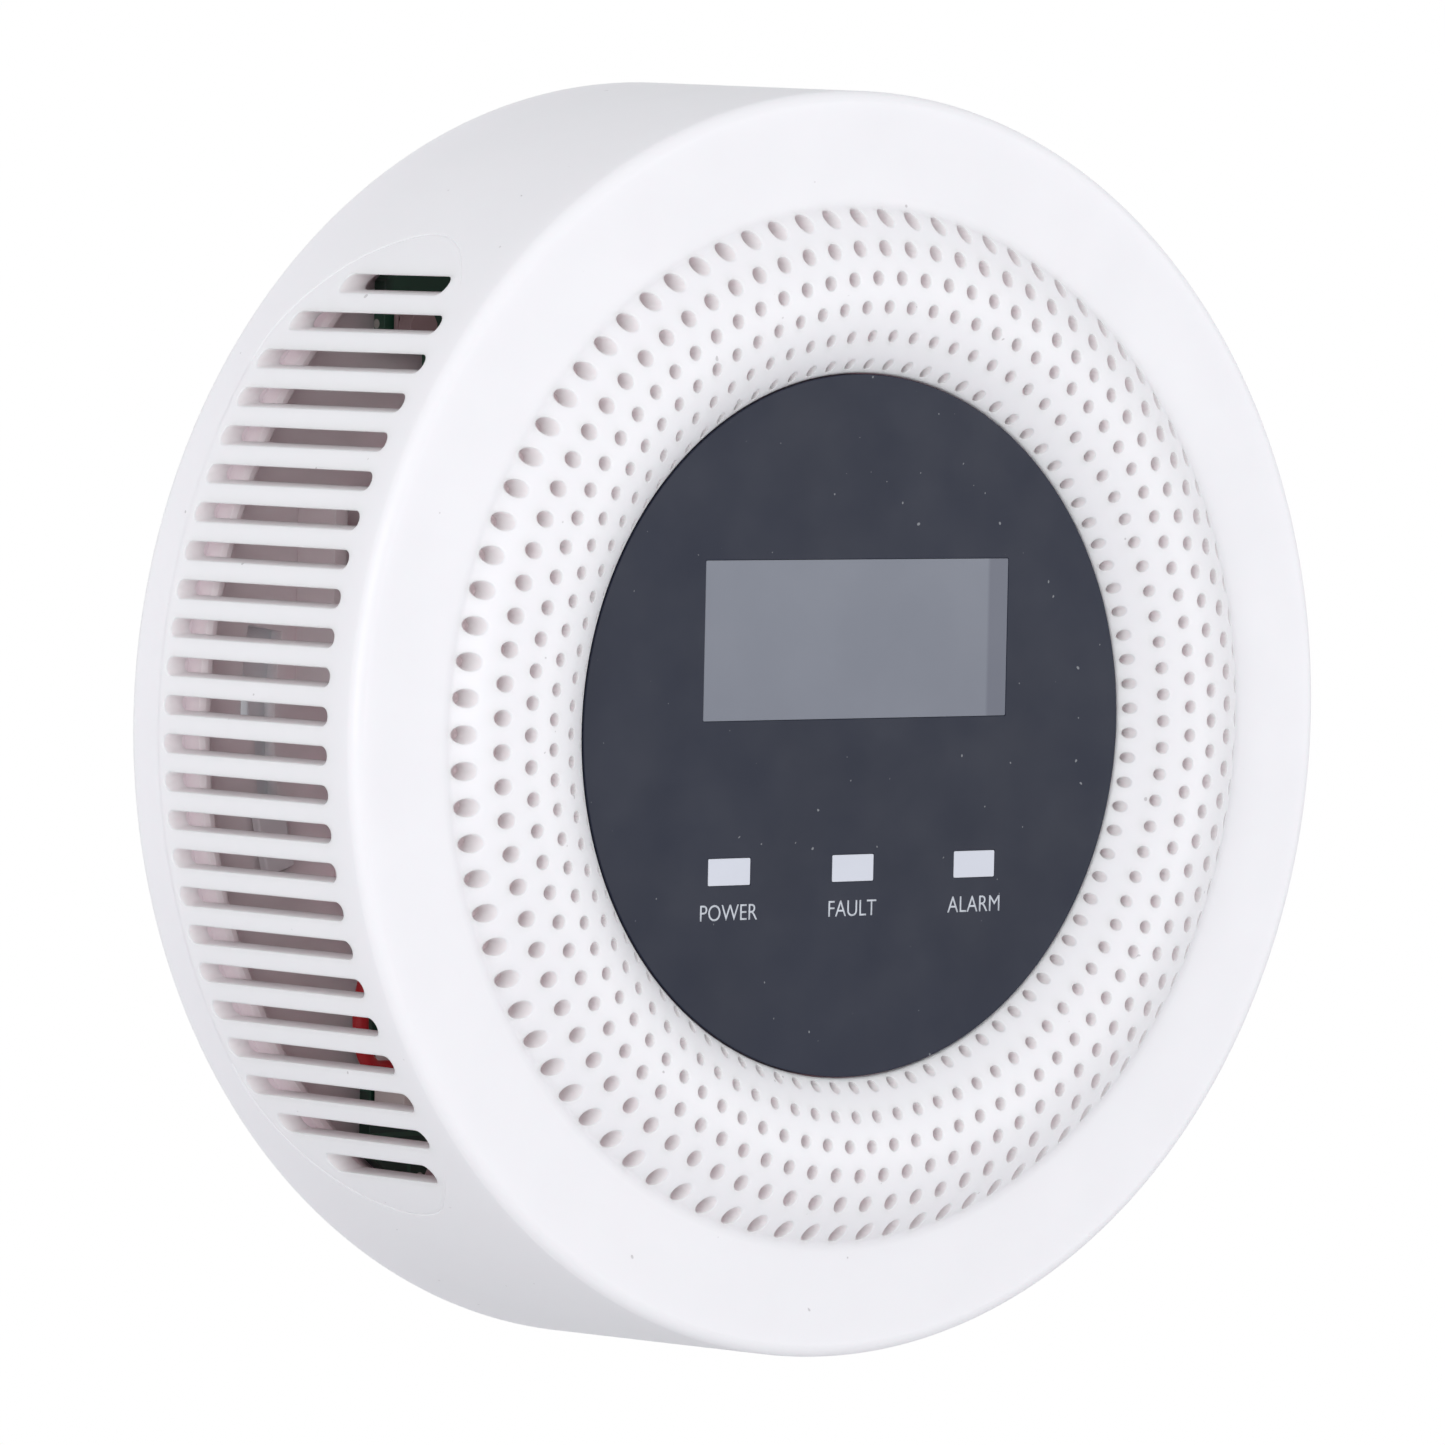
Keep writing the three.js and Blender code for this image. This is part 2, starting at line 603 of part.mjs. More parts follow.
function contactSpring() {
  const options = { steps: 35, bevelEnabled: false, extrudePath: new SpringPath() };
  return toSolid(new THREE.ExtrudeGeometry(wireSection(0.35, 5), options));
}

// ---------------------------------------------------------------- battery door
function batteryDoor() {
  const half = bayHalfWidth - fitGap;
  const leaf = block(-half, half, hingeY, bayTopY - fitGap, doorBack, doorFront);
  const barrel = crossBar(hingeY, hingeZ, hingeBarrelRadius, -half, half, 20);
  const pins = crossBar(hingeY, hingeZ, hingePinRadius, -bayHalfWidth - 1.2, bayHalfWidth + 1.2, 12);
  const rib = block(-0.6, 0.6, hingeY + 6, bayTopY - 8, doorFront - 0.2, doorFront + 3.2);
  const grips = [0, 1, 2].map((i) => {
    const y = bayTopY - 4 - 2 * i;
    return block(-6, 6, y - 0.4, y + 0.4, doorBack - 0.5, doorBack + 0.2);
  });
  return joined(leaf, barrel, pins, rib, ...grips);
}

// ---------------------------------------------------------------- main board and what it carries
function mainBoard() {
  const z0 = mainBoardBack;
  const z1 = mainBoardTop;
  const board = post(0, 0, mainBoardRadius, z0, z1, roundSegments);
  const side = block(-mainBoardRadius - 1, mainBoardLeftEdge, -60, 60, z0 - 1, z1 + 1);
  const gap = 0.4;
  const outer = bayHalfWidth + bayWall + gap;
  const window = block(-outer, outer, bayBottomY - bayWall - gap, bayTopY + bayWall + gap, z0 - 1, z1 + 1);
  const notches = caseScrewAngles.map((angle) => {
    const [x, y] = onCircle(caseScrewCircle, angle);
    return post(x, y, padRadius + gap, z0 - 1, z1 + 1);
  });
  return cutBy(board, [side, window, ...notches]);
}

function sounderCup() {
  const wall = 1.2;
  const cup = post(soundX, soundY, soundRadius, mainPartsZ, soundCupTop, 36);
  const upper = post(soundX, soundY, soundRadius - wall, piezoLedge, soundCupTop + openEnd, 36);
  const lower = post(soundX, soundY, soundRadius - 2 * wall, mainPartsZ + wall, piezoLedge + 0.1, 36);
  return cutBy(cup, [upper, lower]);
}

const piezoDisc = () => post(soundX, soundY, soundRadius - 1.5, piezoLedge + fitGap, piezoLedge + fitGap + 0.5, 30);

function sounderLid() {
  const lid = post(soundX, soundY, soundRadius, soundCupTop + fitGap, soundCupTop + fitGap + 1.2, 36);
  return lid.subtract(post(soundX, soundY, 3.0, soundCupTop, soundCupTop + 3, 16));
}

const sensorCan = () => post(sensorX, sensorY, sensorRadius, mainPartsZ, sensorCanTop, 32);

function sensorCap() {
  const z0 = sensorCanTop + fitGap;
  const base = post(sensorX, sensorY, sensorRadius, z0, z0 + 0.9, 32);
  const crown = post(sensorX, sensorY, sensorRadius - 1.6, z0 + 0.8, z0 + 1.7, 32);
  return base.add(crown).subtract(post(sensorX, sensorY, 1.5, z0 - 1, z0 + 3, 12));
}

function microcontroller() {
  const [x, y] = controllerAt;
  const legs = [
    centredBlock(x, y, 9, 5.6, mainPartsZ, mainPartsZ + 0.4),
    centredBlock(x, y, 5.6, 9, mainPartsZ, mainPartsZ + 0.4),
  ];
  return joined(centredBlock(x, y, 7, 7, mainPartsZ + 0.1, mainPartsZ + 1.4), ...legs);
}

function boardLink() {
  const [x, y] = linkAt;
  const pinPitch = 2.54;
  const pinCount = 6;
  const boardUnderside = displayBoardTop - boardThickness - fitGap;
  const length = pinCount * pinPitch;
  const lower = centredBlock(x, y, 2.5, length, mainPartsZ, mainPartsZ + 2.5);
  const upper = centredBlock(x, y, 2.5, length, boardUnderside - 2.5, boardUnderside);
  const pins = Array.from({ length: pinCount }, (_, i) => centredBlock(
    x, y + (i - (pinCount - 1) / 2) * pinPitch, 0.64, 0.64, mainPartsZ + 1, boardUnderside - 1));
  return joined(lower, upper, ...pins);
}

function capacitor() {
  const [x, y] = capacitorAt;
  const can = post(x, y, 3.15, mainPartsZ, mainPartsZ + 9);
  return can.subtract(centredBlock(x, y, 4.0, 0.4, mainPartsZ + 8.8, mainPartsZ + 10));
}

function inductor() {
  const [x, y] = inductorAt;
  const base = centredBlock(x, y, 3.6, 3.6, mainPartsZ, mainPartsZ + 0.6);
  return base.add(post(x, y, 1.6, mainPartsZ + 0.5, mainPartsZ + 2.2, 14));
}

function leadConnector() {
  const body = centredBlock(connectorX, connectorY, connectorSide, connectorSide, mainPartsZ, mainPartsZ + 4.4);
  return body.subtract(centredBlock(connectorX, connectorY, connectorSide - 2, connectorSide - 3,
    mainPartsZ + 2.4, mainPartsZ + 6));
}

function lead(points) {
  const curve = new THREE.CatmullRomCurve3(points.map(([x, y, z]) => new THREE.Vector3(x, y, z)));
  const options = { steps: 18, bevelEnabled: false, extrudePath: curve };
  return toSolid(new THREE.ExtrudeGeometry(wireSection(0.75, 8), options));
}

const leadRed = () => lead([
  [leadStart, lowerContactY, stripLow + 0.5],
  [leadStart - 2, lowerContactY + 0.6, stripLow + 0.5],
  [-25.5, -30, 19],
  [-32, -21.5, 16.5],
  [-37.6, -19.5, 12.2],
  [-38.9, -24.5, leadZ + 0.3],
  [-38.6, -29.6, leadZ],
  [-37.4, -31.3, leadZ],
  [connectorX - connectorSide / 2 - fitGap - 0.1, -31.5, leadZ],
]);

const leadBlack = () => lead([
  [leadStart, lowerContactY, cellZ - 0.8],
  [leadStart - 2, lowerContactY + 0.8, cellZ - 0.6],
  [-25, -29, 12.5],
  [-28.5, -22.5, 13],
  [-33.5, -21, 12],
  [-34.6, -24.0, leadZ + 0.3],
  [-33.2, -26.6, leadZ],
  [-33, connectorY + connectorSide / 2 + fitGap + 0.1, leadZ],
]);

// ---------------------------------------------------------------- materials
function finish(color, roughness, metalness = 0) {
  return new THREE.MeshStandardMaterial({ color, roughness, metalness });
}

const whitePlastic = finish(0xf2f2f6, 0.5);
const greyPanel = finish(0x42454e, 0.45);
const clearWindow = finish(0x838793, 0.2);
const frostedWindow = finish(0xd4d7e1, 0.35);
const greenBoard = finish(0x1f4a36, 0.5);
const blackPlastic = finish(0x1c1c1e, 0.5);
const nickel = finish(0xb9b8b2, 0.3, 1);
const screwSteel = finish(0x8f9196, 0.35, 1);
const filterCloth = finish(0xe6e2e2, 0.95);

// ---------------------------------------------------------------- assembly
const alarm = new THREE.Group();
alarm.rotation.x = Math.PI / 2;

function place(name, solid, material, position = [0, 0, 0], turn = [0, 0, 0]) {
  const mesh = new THREE.Mesh(toGeometry(solid), material);
  mesh.name = name;
  mesh.position.set(...position);
  mesh.rotation.set(...turn);
  alarm.add(mesh);
}

place('wall_plate', wallPlate(), whitePlastic);
place('front_shell', frontShell(), whitePlastic);
place('dust_filter', dustFilter(), filterCloth);
place('back_cover', backCover(), whitePlastic);
place('battery_door', batteryDoor(), whitePlastic);

caseScrewAngles.forEach((angle, i) => {
  const [x, y] = onCircle(caseScrewCircle, angle);
  const head = screw(caseScrewRadius, caseScrewHeadRadius, caseScrewHeadHeight, caseScrewLength - 1);
  place(`case_screw_${i + 1}`, head, screwSteel, [x, y, coverFloorBack + 0.3]);
});

place('display_panel', displayPanel(), greyPanel);
place('lcd_window', lcdWindow(), clearWindow);
['power', 'fault', 'alarm'].forEach((name, i) => {
  place(`light_pipe_${name}`, lightPipe(i - 1), frostedWindow);
});

place('display_board', displayBoard(), greenBoard);
displayScrewAngles.forEach((angle, i) => {
  const [x, y] = onCircle(displayScrewCircle, angle);
  const headHeight = 1.2;
  const z = displayBoardTop - boardThickness - fitGap - headHeight;
  place(`display_screw_${i + 1}`, screw(displayScrewRadius, 1.8, headHeight, 4.2), screwSteel, [x, y, z]);
});
place('lcd_holder', lcdHolder(), whitePlastic);
place('lcd_glass', lcdGlass(), finish(0x7c8490, 0.15));
place('led_power', led(-1), finish(0xdfe8df, 0.4));
place('led_fault', led(0), finish(0xe8e4d2, 0.4));
place('led_alarm', led(1), finish(0xe8dada, 0.4));
place('switch_body', switchBody(), blackPlastic);
place('switch_plunger', switchPlunger(), finish(0x2b2b2e, 0.45));

place('main_board', mainBoard(), greenBoard);
place('sounder_cup', sounderCup(), blackPlastic);
place('piezo_disc', piezoDisc(), finish(0xc09a4b, 0.35, 1));
place('sounder_lid', sounderLid(), blackPlastic);
place('co_sensor_can', sensorCan(), nickel);
place('co_sensor_cap', sensorCap(), whitePlastic);
place('microcontroller', microcontroller(), blackPlastic);
place('board_link', boardLink(), blackPlastic);
place('capacitor', capacitor(), finish(0x2a3350, 0.35));
place('inductor', inductor(), finish(0x6f5f60, 0.6));
place('lead_connector', leadConnector(), finish(0xe9e6e2, 0.5));
place('lead_red', leadRed(), finish(0xa8252c, 0.45));
place('lead_black', leadBlack(), finish(0x232224, 0.45));

const flatEndY = lowerContactY + contactThickness + fitGap + springLength + fitGap;
const upperFlatEndY = bayTopY - 2 * fitGap - contactThickness - springLength - fitGap;
place('cell_left', cell(), finish(0x3a3f4a, 0.35), [-cellPitch / 2, flatEndY, cellZ]);
place('cell_right', cell(), finish(0x3a3f4a, 0.35), [cellPitch / 2, upperFlatEndY, cellZ], [0, 0, Math.PI]);
place('spring_left', contactSpring(), nickel, [-cellPitch / 2, flatEndY - fitGap - springLength, cellZ]);
place('spring_right', contactSpring(), nickel,
  [cellPitch / 2, upperFlatEndY + fitGap + springLength, cellZ], [0, 0, Math.PI]);
place('contact_negative', contactNegative(), nickel);
place('contact_positive', contactPositive(), nickel);
place('contact_bridge', contactBridge(), nickel);

export default alarm;
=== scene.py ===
"""Looks for a round carbon monoxide alarm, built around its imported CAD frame.

Shapes are worked out in the alarm's own frame, in millimetres: X right and Y up as seen from the room, Z out
of the wall. put() turns them into the frame's metres.
"""

import json
import math

import bmesh
import bpy
import numpy as np
from mathutils import Matrix, Vector
from mathutils.geometry import delaunay_2d_cdt

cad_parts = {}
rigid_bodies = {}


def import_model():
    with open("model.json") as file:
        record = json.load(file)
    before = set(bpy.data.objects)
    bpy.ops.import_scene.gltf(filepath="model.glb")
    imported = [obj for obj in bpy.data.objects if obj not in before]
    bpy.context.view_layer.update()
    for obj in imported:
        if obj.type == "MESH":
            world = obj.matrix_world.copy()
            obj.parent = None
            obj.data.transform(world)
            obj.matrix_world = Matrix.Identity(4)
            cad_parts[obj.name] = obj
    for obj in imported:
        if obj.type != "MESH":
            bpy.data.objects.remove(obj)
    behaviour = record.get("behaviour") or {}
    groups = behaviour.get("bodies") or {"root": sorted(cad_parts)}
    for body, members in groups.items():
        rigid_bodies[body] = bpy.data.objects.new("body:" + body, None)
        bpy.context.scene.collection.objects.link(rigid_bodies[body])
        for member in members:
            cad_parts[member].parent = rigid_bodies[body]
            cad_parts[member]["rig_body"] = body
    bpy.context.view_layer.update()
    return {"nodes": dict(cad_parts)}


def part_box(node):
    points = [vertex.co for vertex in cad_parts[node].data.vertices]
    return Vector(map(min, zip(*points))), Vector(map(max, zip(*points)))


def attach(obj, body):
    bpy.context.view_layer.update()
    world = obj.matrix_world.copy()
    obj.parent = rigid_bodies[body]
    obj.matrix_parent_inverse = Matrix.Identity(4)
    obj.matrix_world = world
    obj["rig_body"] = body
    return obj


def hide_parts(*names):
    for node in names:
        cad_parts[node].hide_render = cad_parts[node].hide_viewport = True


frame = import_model()

# ---------------------------------------------------------------- places and sizes, from the frame
MM = 0.001


def span(node):
    """Lowest and highest corner of a CAD node in the alarm's frame, in millimetres."""
    lo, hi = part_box(node)
    return Vector((lo.x, lo.z, -hi.y)) / MM, Vector((hi.x, hi.z, -lo.y)) / MM


def middle_of(node):
    lo, hi = span(node)
    return (lo.x + hi.x) / 2, (lo.y + hi.y) / 2


shell_lo, shell_hi = span("front_shell")
panel_hi = span("display_panel")[1]
WALL = 2.0
DRAFT = 0.7
FILLET = 1.2
EDGE = 0.3
PANEL_PROUD = 0.2
PANEL_GAP = 0.27
BULGE_HALF = 7.5
BACK = shell_lo.z
CREST = shell_hi.z
R_BACK = shell_hi.x
R_FRONT = R_BACK - DRAFT
PANEL_FRONT = panel_hi.z
PANEL_BACK = PANEL_FRONT - 2.0
PANEL_R = panel_hi.x
RING = PANEL_FRONT - PANEL_PROUD
RING_UNDER = RING - WALL
BULGE_IN = PANEL_R + PANEL_GAP
BULGE_MID = BULGE_IN + BULGE_HALF
BULGE_R = (BULGE_HALF**2 + (CREST - RING) ** 2) / (2 * (CREST - RING))
BULGE_Z = CREST - BULGE_R
RIM_R = 47.9  # where the perforated face's mesh ends and the plain flat ring starts
LEDGE_R, LEDGE_ROOT = BULGE_IN - 2.2, BULGE_IN + 1.6
LEDGE_TOP, LEDGE_BOTTOM = PANEL_BACK - 1.0, PANEL_BACK - 2.6
HOLES_IN_ROW = 90
HOLE_ROWS = [  # radius, hole diameter, angle of the first hole
    (46.06, 1.60, 0), (43.31, 1.42, 2), (40.65, 1.26, 0),
    (38.03, 1.15, 2), (35.40, 1.05, 0), (32.85, 0.95, 2),
]
SLOTS = 24
SLOT_HALF = 0.825
SLOT_PITCH = 3.43
SLOT_MIDDLE = -0.2
SLOT_LIP = 0.16
SLOT_TOP = 3.9
SLOT_FOOT = 26.9
SLOT_TAPER = 0.13
SLOT_RISE = 0.15
GROOVE_HALF = 0.13
GROOVE_DEEP = 0.1
AROUND = 360


def put(points):
    p = np.asarray(points, float).reshape(-1, 3)
    return np.stack([p[:, 0], -p[:, 2], p[:, 1]], 1) * MM


# ---------------------------------------------------------------- materials
class Look:
    """One material's node tree, and the nodes that feed its shader."""

    def __init__(self, material):
        material.use_nodes = True
        self.material = material
        self.tree = material.node_tree
        self.shader = self.tree.nodes["Principled BSDF"]
        self.place = self.add("TexCoord").outputs["Object"]

    def feed(self, node, inputs):
        """Gives each input named a value, or a link from another node's output."""
        for name, value in inputs.items():
            socket = node.inputs[name]
            if isinstance(value, bpy.types.NodeSocket):
                self.tree.links.new(value, socket)
            else:
                socket.default_value = (*value, 1) if socket.type == "RGBA" else value

    def add(self, kind, inputs=None, **settings):
        node = self.tree.nodes.new("ShaderNode" + kind)
        for name, value in settings.items():
            setattr(node, name, value)
        self.feed(node, inputs or {})
        return node

    def axes(self):
        return self.add("SeparateXYZ", {"Vector": self.place}).outputs

    def noise(self, scale, detail=3.0, rough=0.5, stretch=None):
        place = self.place
        if stretch:
            place = self.add("Mapping", {"Scale": stretch, "Vector": place}).outputs["Vector"]
        given = {"Scale": scale, "Detail": detail, "Roughness": rough, "Vector": place}
        return self.add("TexNoise", given).outputs["Fac"]

    def ramp(self, value, *stops):
        node = self.add("ValToRGB", {"Fac": value})
        elements = node.color_ramp.elements
        while len(elements) < len(stops):
            elements.new(0.5)
        for element, (at, colour) in zip(elements, stops):
            element.position = at
            element.color = (*colour, 1)
        return node.outputs["Color"]

    def spread(self, value, lo, hi, start=0.3, end=0.7, **settings):
        """value, from start to end, brought to the range from lo to hi."""
        given = {"Value": value, "From Min": start, "From Max": end, "To Min": lo, "To Max": hi}
        return self.add("MapRange", given, **settings).outputs["Result"]

    def bump(self, height, distance, strength, under=None):
        given = {"Height": height, "Distance": distance, "Strength": strength}
        if under:
            given["Normal"] = under
        return self.add("Bump", given).outputs["Normal"]

    def mix(self, factor, a, b, how="MIX"):
        return self.add("Mix", {0: factor, 6: a, 7: b}, data_type="RGBA", blend_type=how).outputs[2]

    def shaded(self, inputs):
        self.feed(self.shader, inputs)
        return self.material


def new_look(name):
    return Look(bpy.data.materials.new(name))


def tone(colour, by):
    return tuple(min(1.0, c * by) for c in colour)


def moulded(name, colour, rough=0.45, grain=2200, depth=2e-6, variation=0.02, specks=None, subsurface=0.0,
            specular=0.5, lit=None):
    """Injection-moulded plastic: cloudy colour, spark-eroded grain, uneven gloss, and a few dust specks.
    lit, a colour and a strength, is a painted glow that stands in for the faint light the thin white shell
    lets through to it."""
    look = new_look(name)
    cloud = look.noise(45, 4, 0.55)
    base = look.ramp(cloud, (0.3, tone(colour, 1 - variation)), (0.7, tone(colour, 1 + variation)))
    if specks:
        scale, start, speck = specks
        mask = look.ramp(look.noise(scale, 1, 0.4), (start, OFF), (start + 0.02, ON))
        base = look.mix(mask, base, speck)
    given = {
        "Base Color": base,
        "Roughness": look.spread(look.noise(160, 4), rough - 0.05, rough + 0.06),
        "Normal": look.bump(look.noise(grain, 2, 0.6), depth, 0.5),
        "Specular IOR Level": specular,
    }
    if subsurface:
        given |= {"Subsurface Weight": subsurface, "Subsurface Scale": 0.0015}
        given["Subsurface Radius"] = (1.0, 0.93, 0.95)
    if lit:
        given |= {"Emission Color": lit[0], "Emission Strength": lit[1]}
    return look.shaded(given)


def painted_rim_glow(material, radius, top, floor):
    """Painted glow on the cover's rim, standing in for light through the shell and fading towards its top,
    and a painted warm tint on its inside that stands in for the same light.
    """
    look = Look(material)
    axes = look.axes()
    across = look.add("CombineXYZ", {"X": axes["X"], "Z": axes["Z"]}).outputs[0]
    length = look.add("VectorMath", {0: across}, operation="LENGTH").outputs["Value"]
    out = look.spread(length, 0, 1, (radius - 1.1) * MM, (radius - 0.1) * MM)
    deep = look.spread(axes["Y"], 0.05, 0.15, -top * MM, -floor * MM)
    inside = look.spread(axes["Y"], 0, 1, -(BACK + 2.4) * MM, -(BACK + 3.4) * MM)
    plain = look.shader.inputs["Base Color"].links[0].from_socket
    # painted light: the inside is tinted pink as if lit through the shell
    painted_warm_tint = look.mix(1.0, plain, (1.0, 0.935, 0.93), "MULTIPLY")
    look.shaded({
        "Base Color": look.mix(inside, plain, painted_warm_tint),
        # painted glow: the rim emits light though it is no lamp
        "Emission Color": (0.95, 0.93, 1.0),
        "Emission Strength": look.add("Math", {0: out, 1: deep}, operation="MULTIPLY").outputs[0],
    })


def metal(name, colour, rough, stretch, scale=900, tarnish=0.12):
    """Plated or drawn metal: fine drawing lines along one way, and patchy tarnish."""
    look = new_look(name)
    patches = look.noise(260, 5, 0.6)
    lines = look.noise(scale, 3, 0.6, stretch)
    return look.shaded({
        "Base Color": look.ramp(patches, (0.35, tone(colour, 1 - tarnish)), (0.65, tone(colour, 1.04))),
        "Roughness": look.spread(lines, rough - 0.08, rough + 0.12),
        "Normal": look.bump(lines, 2e-6, 0.4),
        "Metallic": 1.0,
    })


def circuit_board(name):
    """Solder mask over copper: lighter tracks where copper lies beneath, tinned dots, and the glass weave."""
    look = new_look(name)
    turned = look.add("Mapping", {"Rotation": (math.radians(90), 0, 0), "Vector": look.place})
    tracks = look.add("TexBrick", {
        "Vector": turned.outputs["Vector"], "Scale": 1.0, "Brick Width": 0.0052, "Row Height": 0.0021,
        "Mortar Size": 0.00022, "Mortar Smooth": 0.1,
    }, offset=0.37).outputs["Fac"]
    poured = look.ramp(look.noise(70, 1), (0.47, OFF), (0.5, ON))
    copper = look.mix(tracks, poured, ON)
    cells = look.add("TexVoronoi", {"Scale": 330, "Vector": look.place}).outputs["Distance"]
    vias = look.ramp(cells, (0.13, ON), (0.16, OFF))
    green = look.mix(copper, (0.010, 0.045, 0.030), (0.018, 0.085, 0.050))
    weave = look.bump(look.noise(1500, 2, 0.5), 4e-6, 0.3)
    return look.shaded({
        "Base Color": look.mix(vias, green, (0.42, 0.44, 0.40)),
        "Roughness": look.spread(look.noise(220), 0.28, 0.42),
        "Normal": look.bump(copper, 2e-5, 0.6, weave),
    })


def cloth(name, colour, lit):
    """Plain weave: two sets of threads, across each other, with lit as a painted glow that stands in for
    light through the shell.
    """
    look = new_look(name)
    given = {"Scale": 520, "Distortion": 1.2, "Detail": 2, "Vector": look.place}
    threads = [look.add("TexWave", given, wave_type="BANDS", bands_direction=axis) for axis in "XZ"]
    weave = look.mix(1.0, *(t.outputs["Color"] for t in threads), "MULTIPLY")
    return look.shaded({
        "Base Color": look.mix(weave, tone(colour, 0.72), colour),
        "Roughness": look.spread(look.noise(300), 0.85, 0.98),
        "Normal": look.bump(weave, 6e-5, 0.8),
        "Sheen Weight": 0.2,
        "Emission Color": lit[0],
        "Emission Strength": lit[1],
    })


def display_film(name):
    """The unlit display behind its tinted film: even grey, lighter towards its top as painted reflection,
    faint mottling, and a darker band at its right that is painted shade of the window's recessed wall.
    """
    look = new_look(name)
    lo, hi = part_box("lcd_window")
    axes = look.axes()
    border = hi.x - 1.9 * MM
    # painted shade: the darker band at the right stands in for the window's recessed wall in shade
    edge = look.spread(axes["X"], 0, 1, border - 2.6 * MM, border - 2.1 * MM, interpolation_type="SMOOTHSTEP")
    # painted reflection: lighter towards the top, as if reflecting the brighter surroundings above
    rise = look.spread(axes["Z"], 0, 1, lo.z, hi.z)
    painted_reflection_field = look.mix(rise, (0.150, 0.163, 0.205), (0.170, 0.185, 0.228))
    mottling = look.ramp(look.noise(130, 3), (0.35, (0.145, 0.158, 0.20)), (0.65, (0.180, 0.195, 0.24)))
    return look.shaded({
        "Base Color": look.mix(edge, look.mix(0.25, painted_reflection_field, mottling), (0.107, 0.117, 0.157)),
        "Roughness": look.spread(look.noise(90), 0.30, 0.38),
        "Normal": look.bump(look.noise(900, 2), 1e-6, 0.3),
    })


def banded(name, start, end, bands):
    """A printed sleeve whose colour changes from start to end along Z, with soft wear all over."""
    look = new_look(name)
    base = look.ramp(look.spread(look.axes()["Z"], 0, 1, start, end), *bands)
    wear = look.ramp(look.noise(420, 5, 0.7), (0.3, (0.82, 0.82, 0.82)), (0.65, ON))
    return look.shaded({
        "Base Color": look.mix(1.0, base, wear, "MULTIPLY"),
        "Roughness": look.spread(look.noise(300), 0.25, 0.38),
        "Normal": look.bump(look.noise(1300), 3e-6, 0.4),
    })


OFF, ON = (0, 0, 0), (1, 1, 1)
WHITE = moulded("white_plastic", (0.868, 0.859, 0.885), 0.42, 2400, 2.5e-6, 0.008,
                (900, 0.80, (0.62, 0.60, 0.62)), 0.9)
# painted light: the inside copy of the white is tinted pink and glows faintly, standing in for light through
# the thin shell
WHITE_INSIDE_PAINTED_GLOW = moulded("white_plastic_inside", (0.86, 0.79, 0.805), 0.5, 1800, 3e-6, 0.02, None, 0.9,
                       lit=((1.0, 0.50, 0.60), 0.045))
# painted light: the hole and slot walls get a lighter, pinker copy of the white, brightening walls that stand
# in shade
WHITE_HOLE_PAINTED_LIGHT = moulded("white_plastic_hole", (0.90, 0.87, 0.88), 0.5, 2400, 3e-6, 0.01, None, 0.9)
PLATE_WHITE = moulded("white_plate", (0.85, 0.848, 0.87), 0.5, 1500, 5e-6, 0.015)
COVER_WHITE = moulded("white_cover", (0.86, 0.855, 0.875), 0.48, 1500, 5e-6, 0.015, None, 0.9)
# the back cover gets a painted glow on its rim and a painted warm tint on its inside
painted_rim_glow(COVER_WHITE, R_BACK - WALL - 1.2, 7.0, 4.5)
PANEL = moulded("panel_grey", (0.0110, 0.0150, 0.0330), 0.40, 1900, 3e-6, 0.06,
                (1500, 0.777, (0.20, 0.21, 0.23)), specular=0.27)
CAPTION = moulded("caption_ink", (0.60, 0.63, 0.69), 0.5, 2600, 2e-6, 0.05)
FROSTED = moulded("frosted_window", (0.62, 0.64, 0.715), 0.38, 1600, 2e-6, 0.015)
FILM = display_film("clear_window")
BOARD = circuit_board("green_board")
BLACK = moulded("black_plastic", (0.022, 0.022, 0.024), 0.42, 1600, 5e-6, 0.12)
NICKEL = metal("nickel", (0.62, 0.60, 0.56), 0.26, (1, 1, 14))
STEEL = metal("screw_steel", (0.50, 0.51, 0.53), 0.32, (6, 1, 6), 1200)
BRASS = metal("brass", (0.66, 0.47, 0.20), 0.30, (1, 9, 1), 700, 0.2)
# painted glow: the filter emits faint light, standing in for light reaching it through the shell
FILTER = cloth("filter_cloth", (0.90, 0.86, 0.87), ((1.0, 0.90, 0.92), 0.17))
LCD = moulded("lcd", (0.23, 0.25, 0.27), 0.12, 900, 1e-6, 0.03, specular=0.6)
LED_BODY = moulded("led_body", (0.72, 0.72, 0.66), 0.35, 1800, 3e-6, 0.03)
SENSOR_WHITE = moulded("sensor_cap", (0.72, 0.72, 0.72), 0.55, 1300, 6e-6, 0.03)
SLEEVE = moulded("capacitor_sleeve", (0.025, 0.035, 0.085), 0.32, 1100, 4e-6, 0.08)
FERRITE = moulded("ferrite", (0.33, 0.25, 0.25), 0.62, 1400, 1.2e-5, 0.18)
CONNECTOR = moulded("connector", (0.80, 0.78, 0.74), 0.45, 1500, 3e-6, 0.02)
WIRE_RED = moulded("wire_red", (0.52, 0.012, 0.018), 0.38, 1300, 4e-6, 0.08)
WIRE_BLACK = moulded("wire_black", (0.018, 0.017, 0.018), 0.4, 1300, 4e-6, 0.1)


# ---------------------------------------------------------------- mesh helpers
def linked(name, data):
    """An object for the data, in the scene's collection."""
    obj = bpy.data.objects.new(name, data)
    bpy.context.scene.collection.objects.link(obj)
    return obj


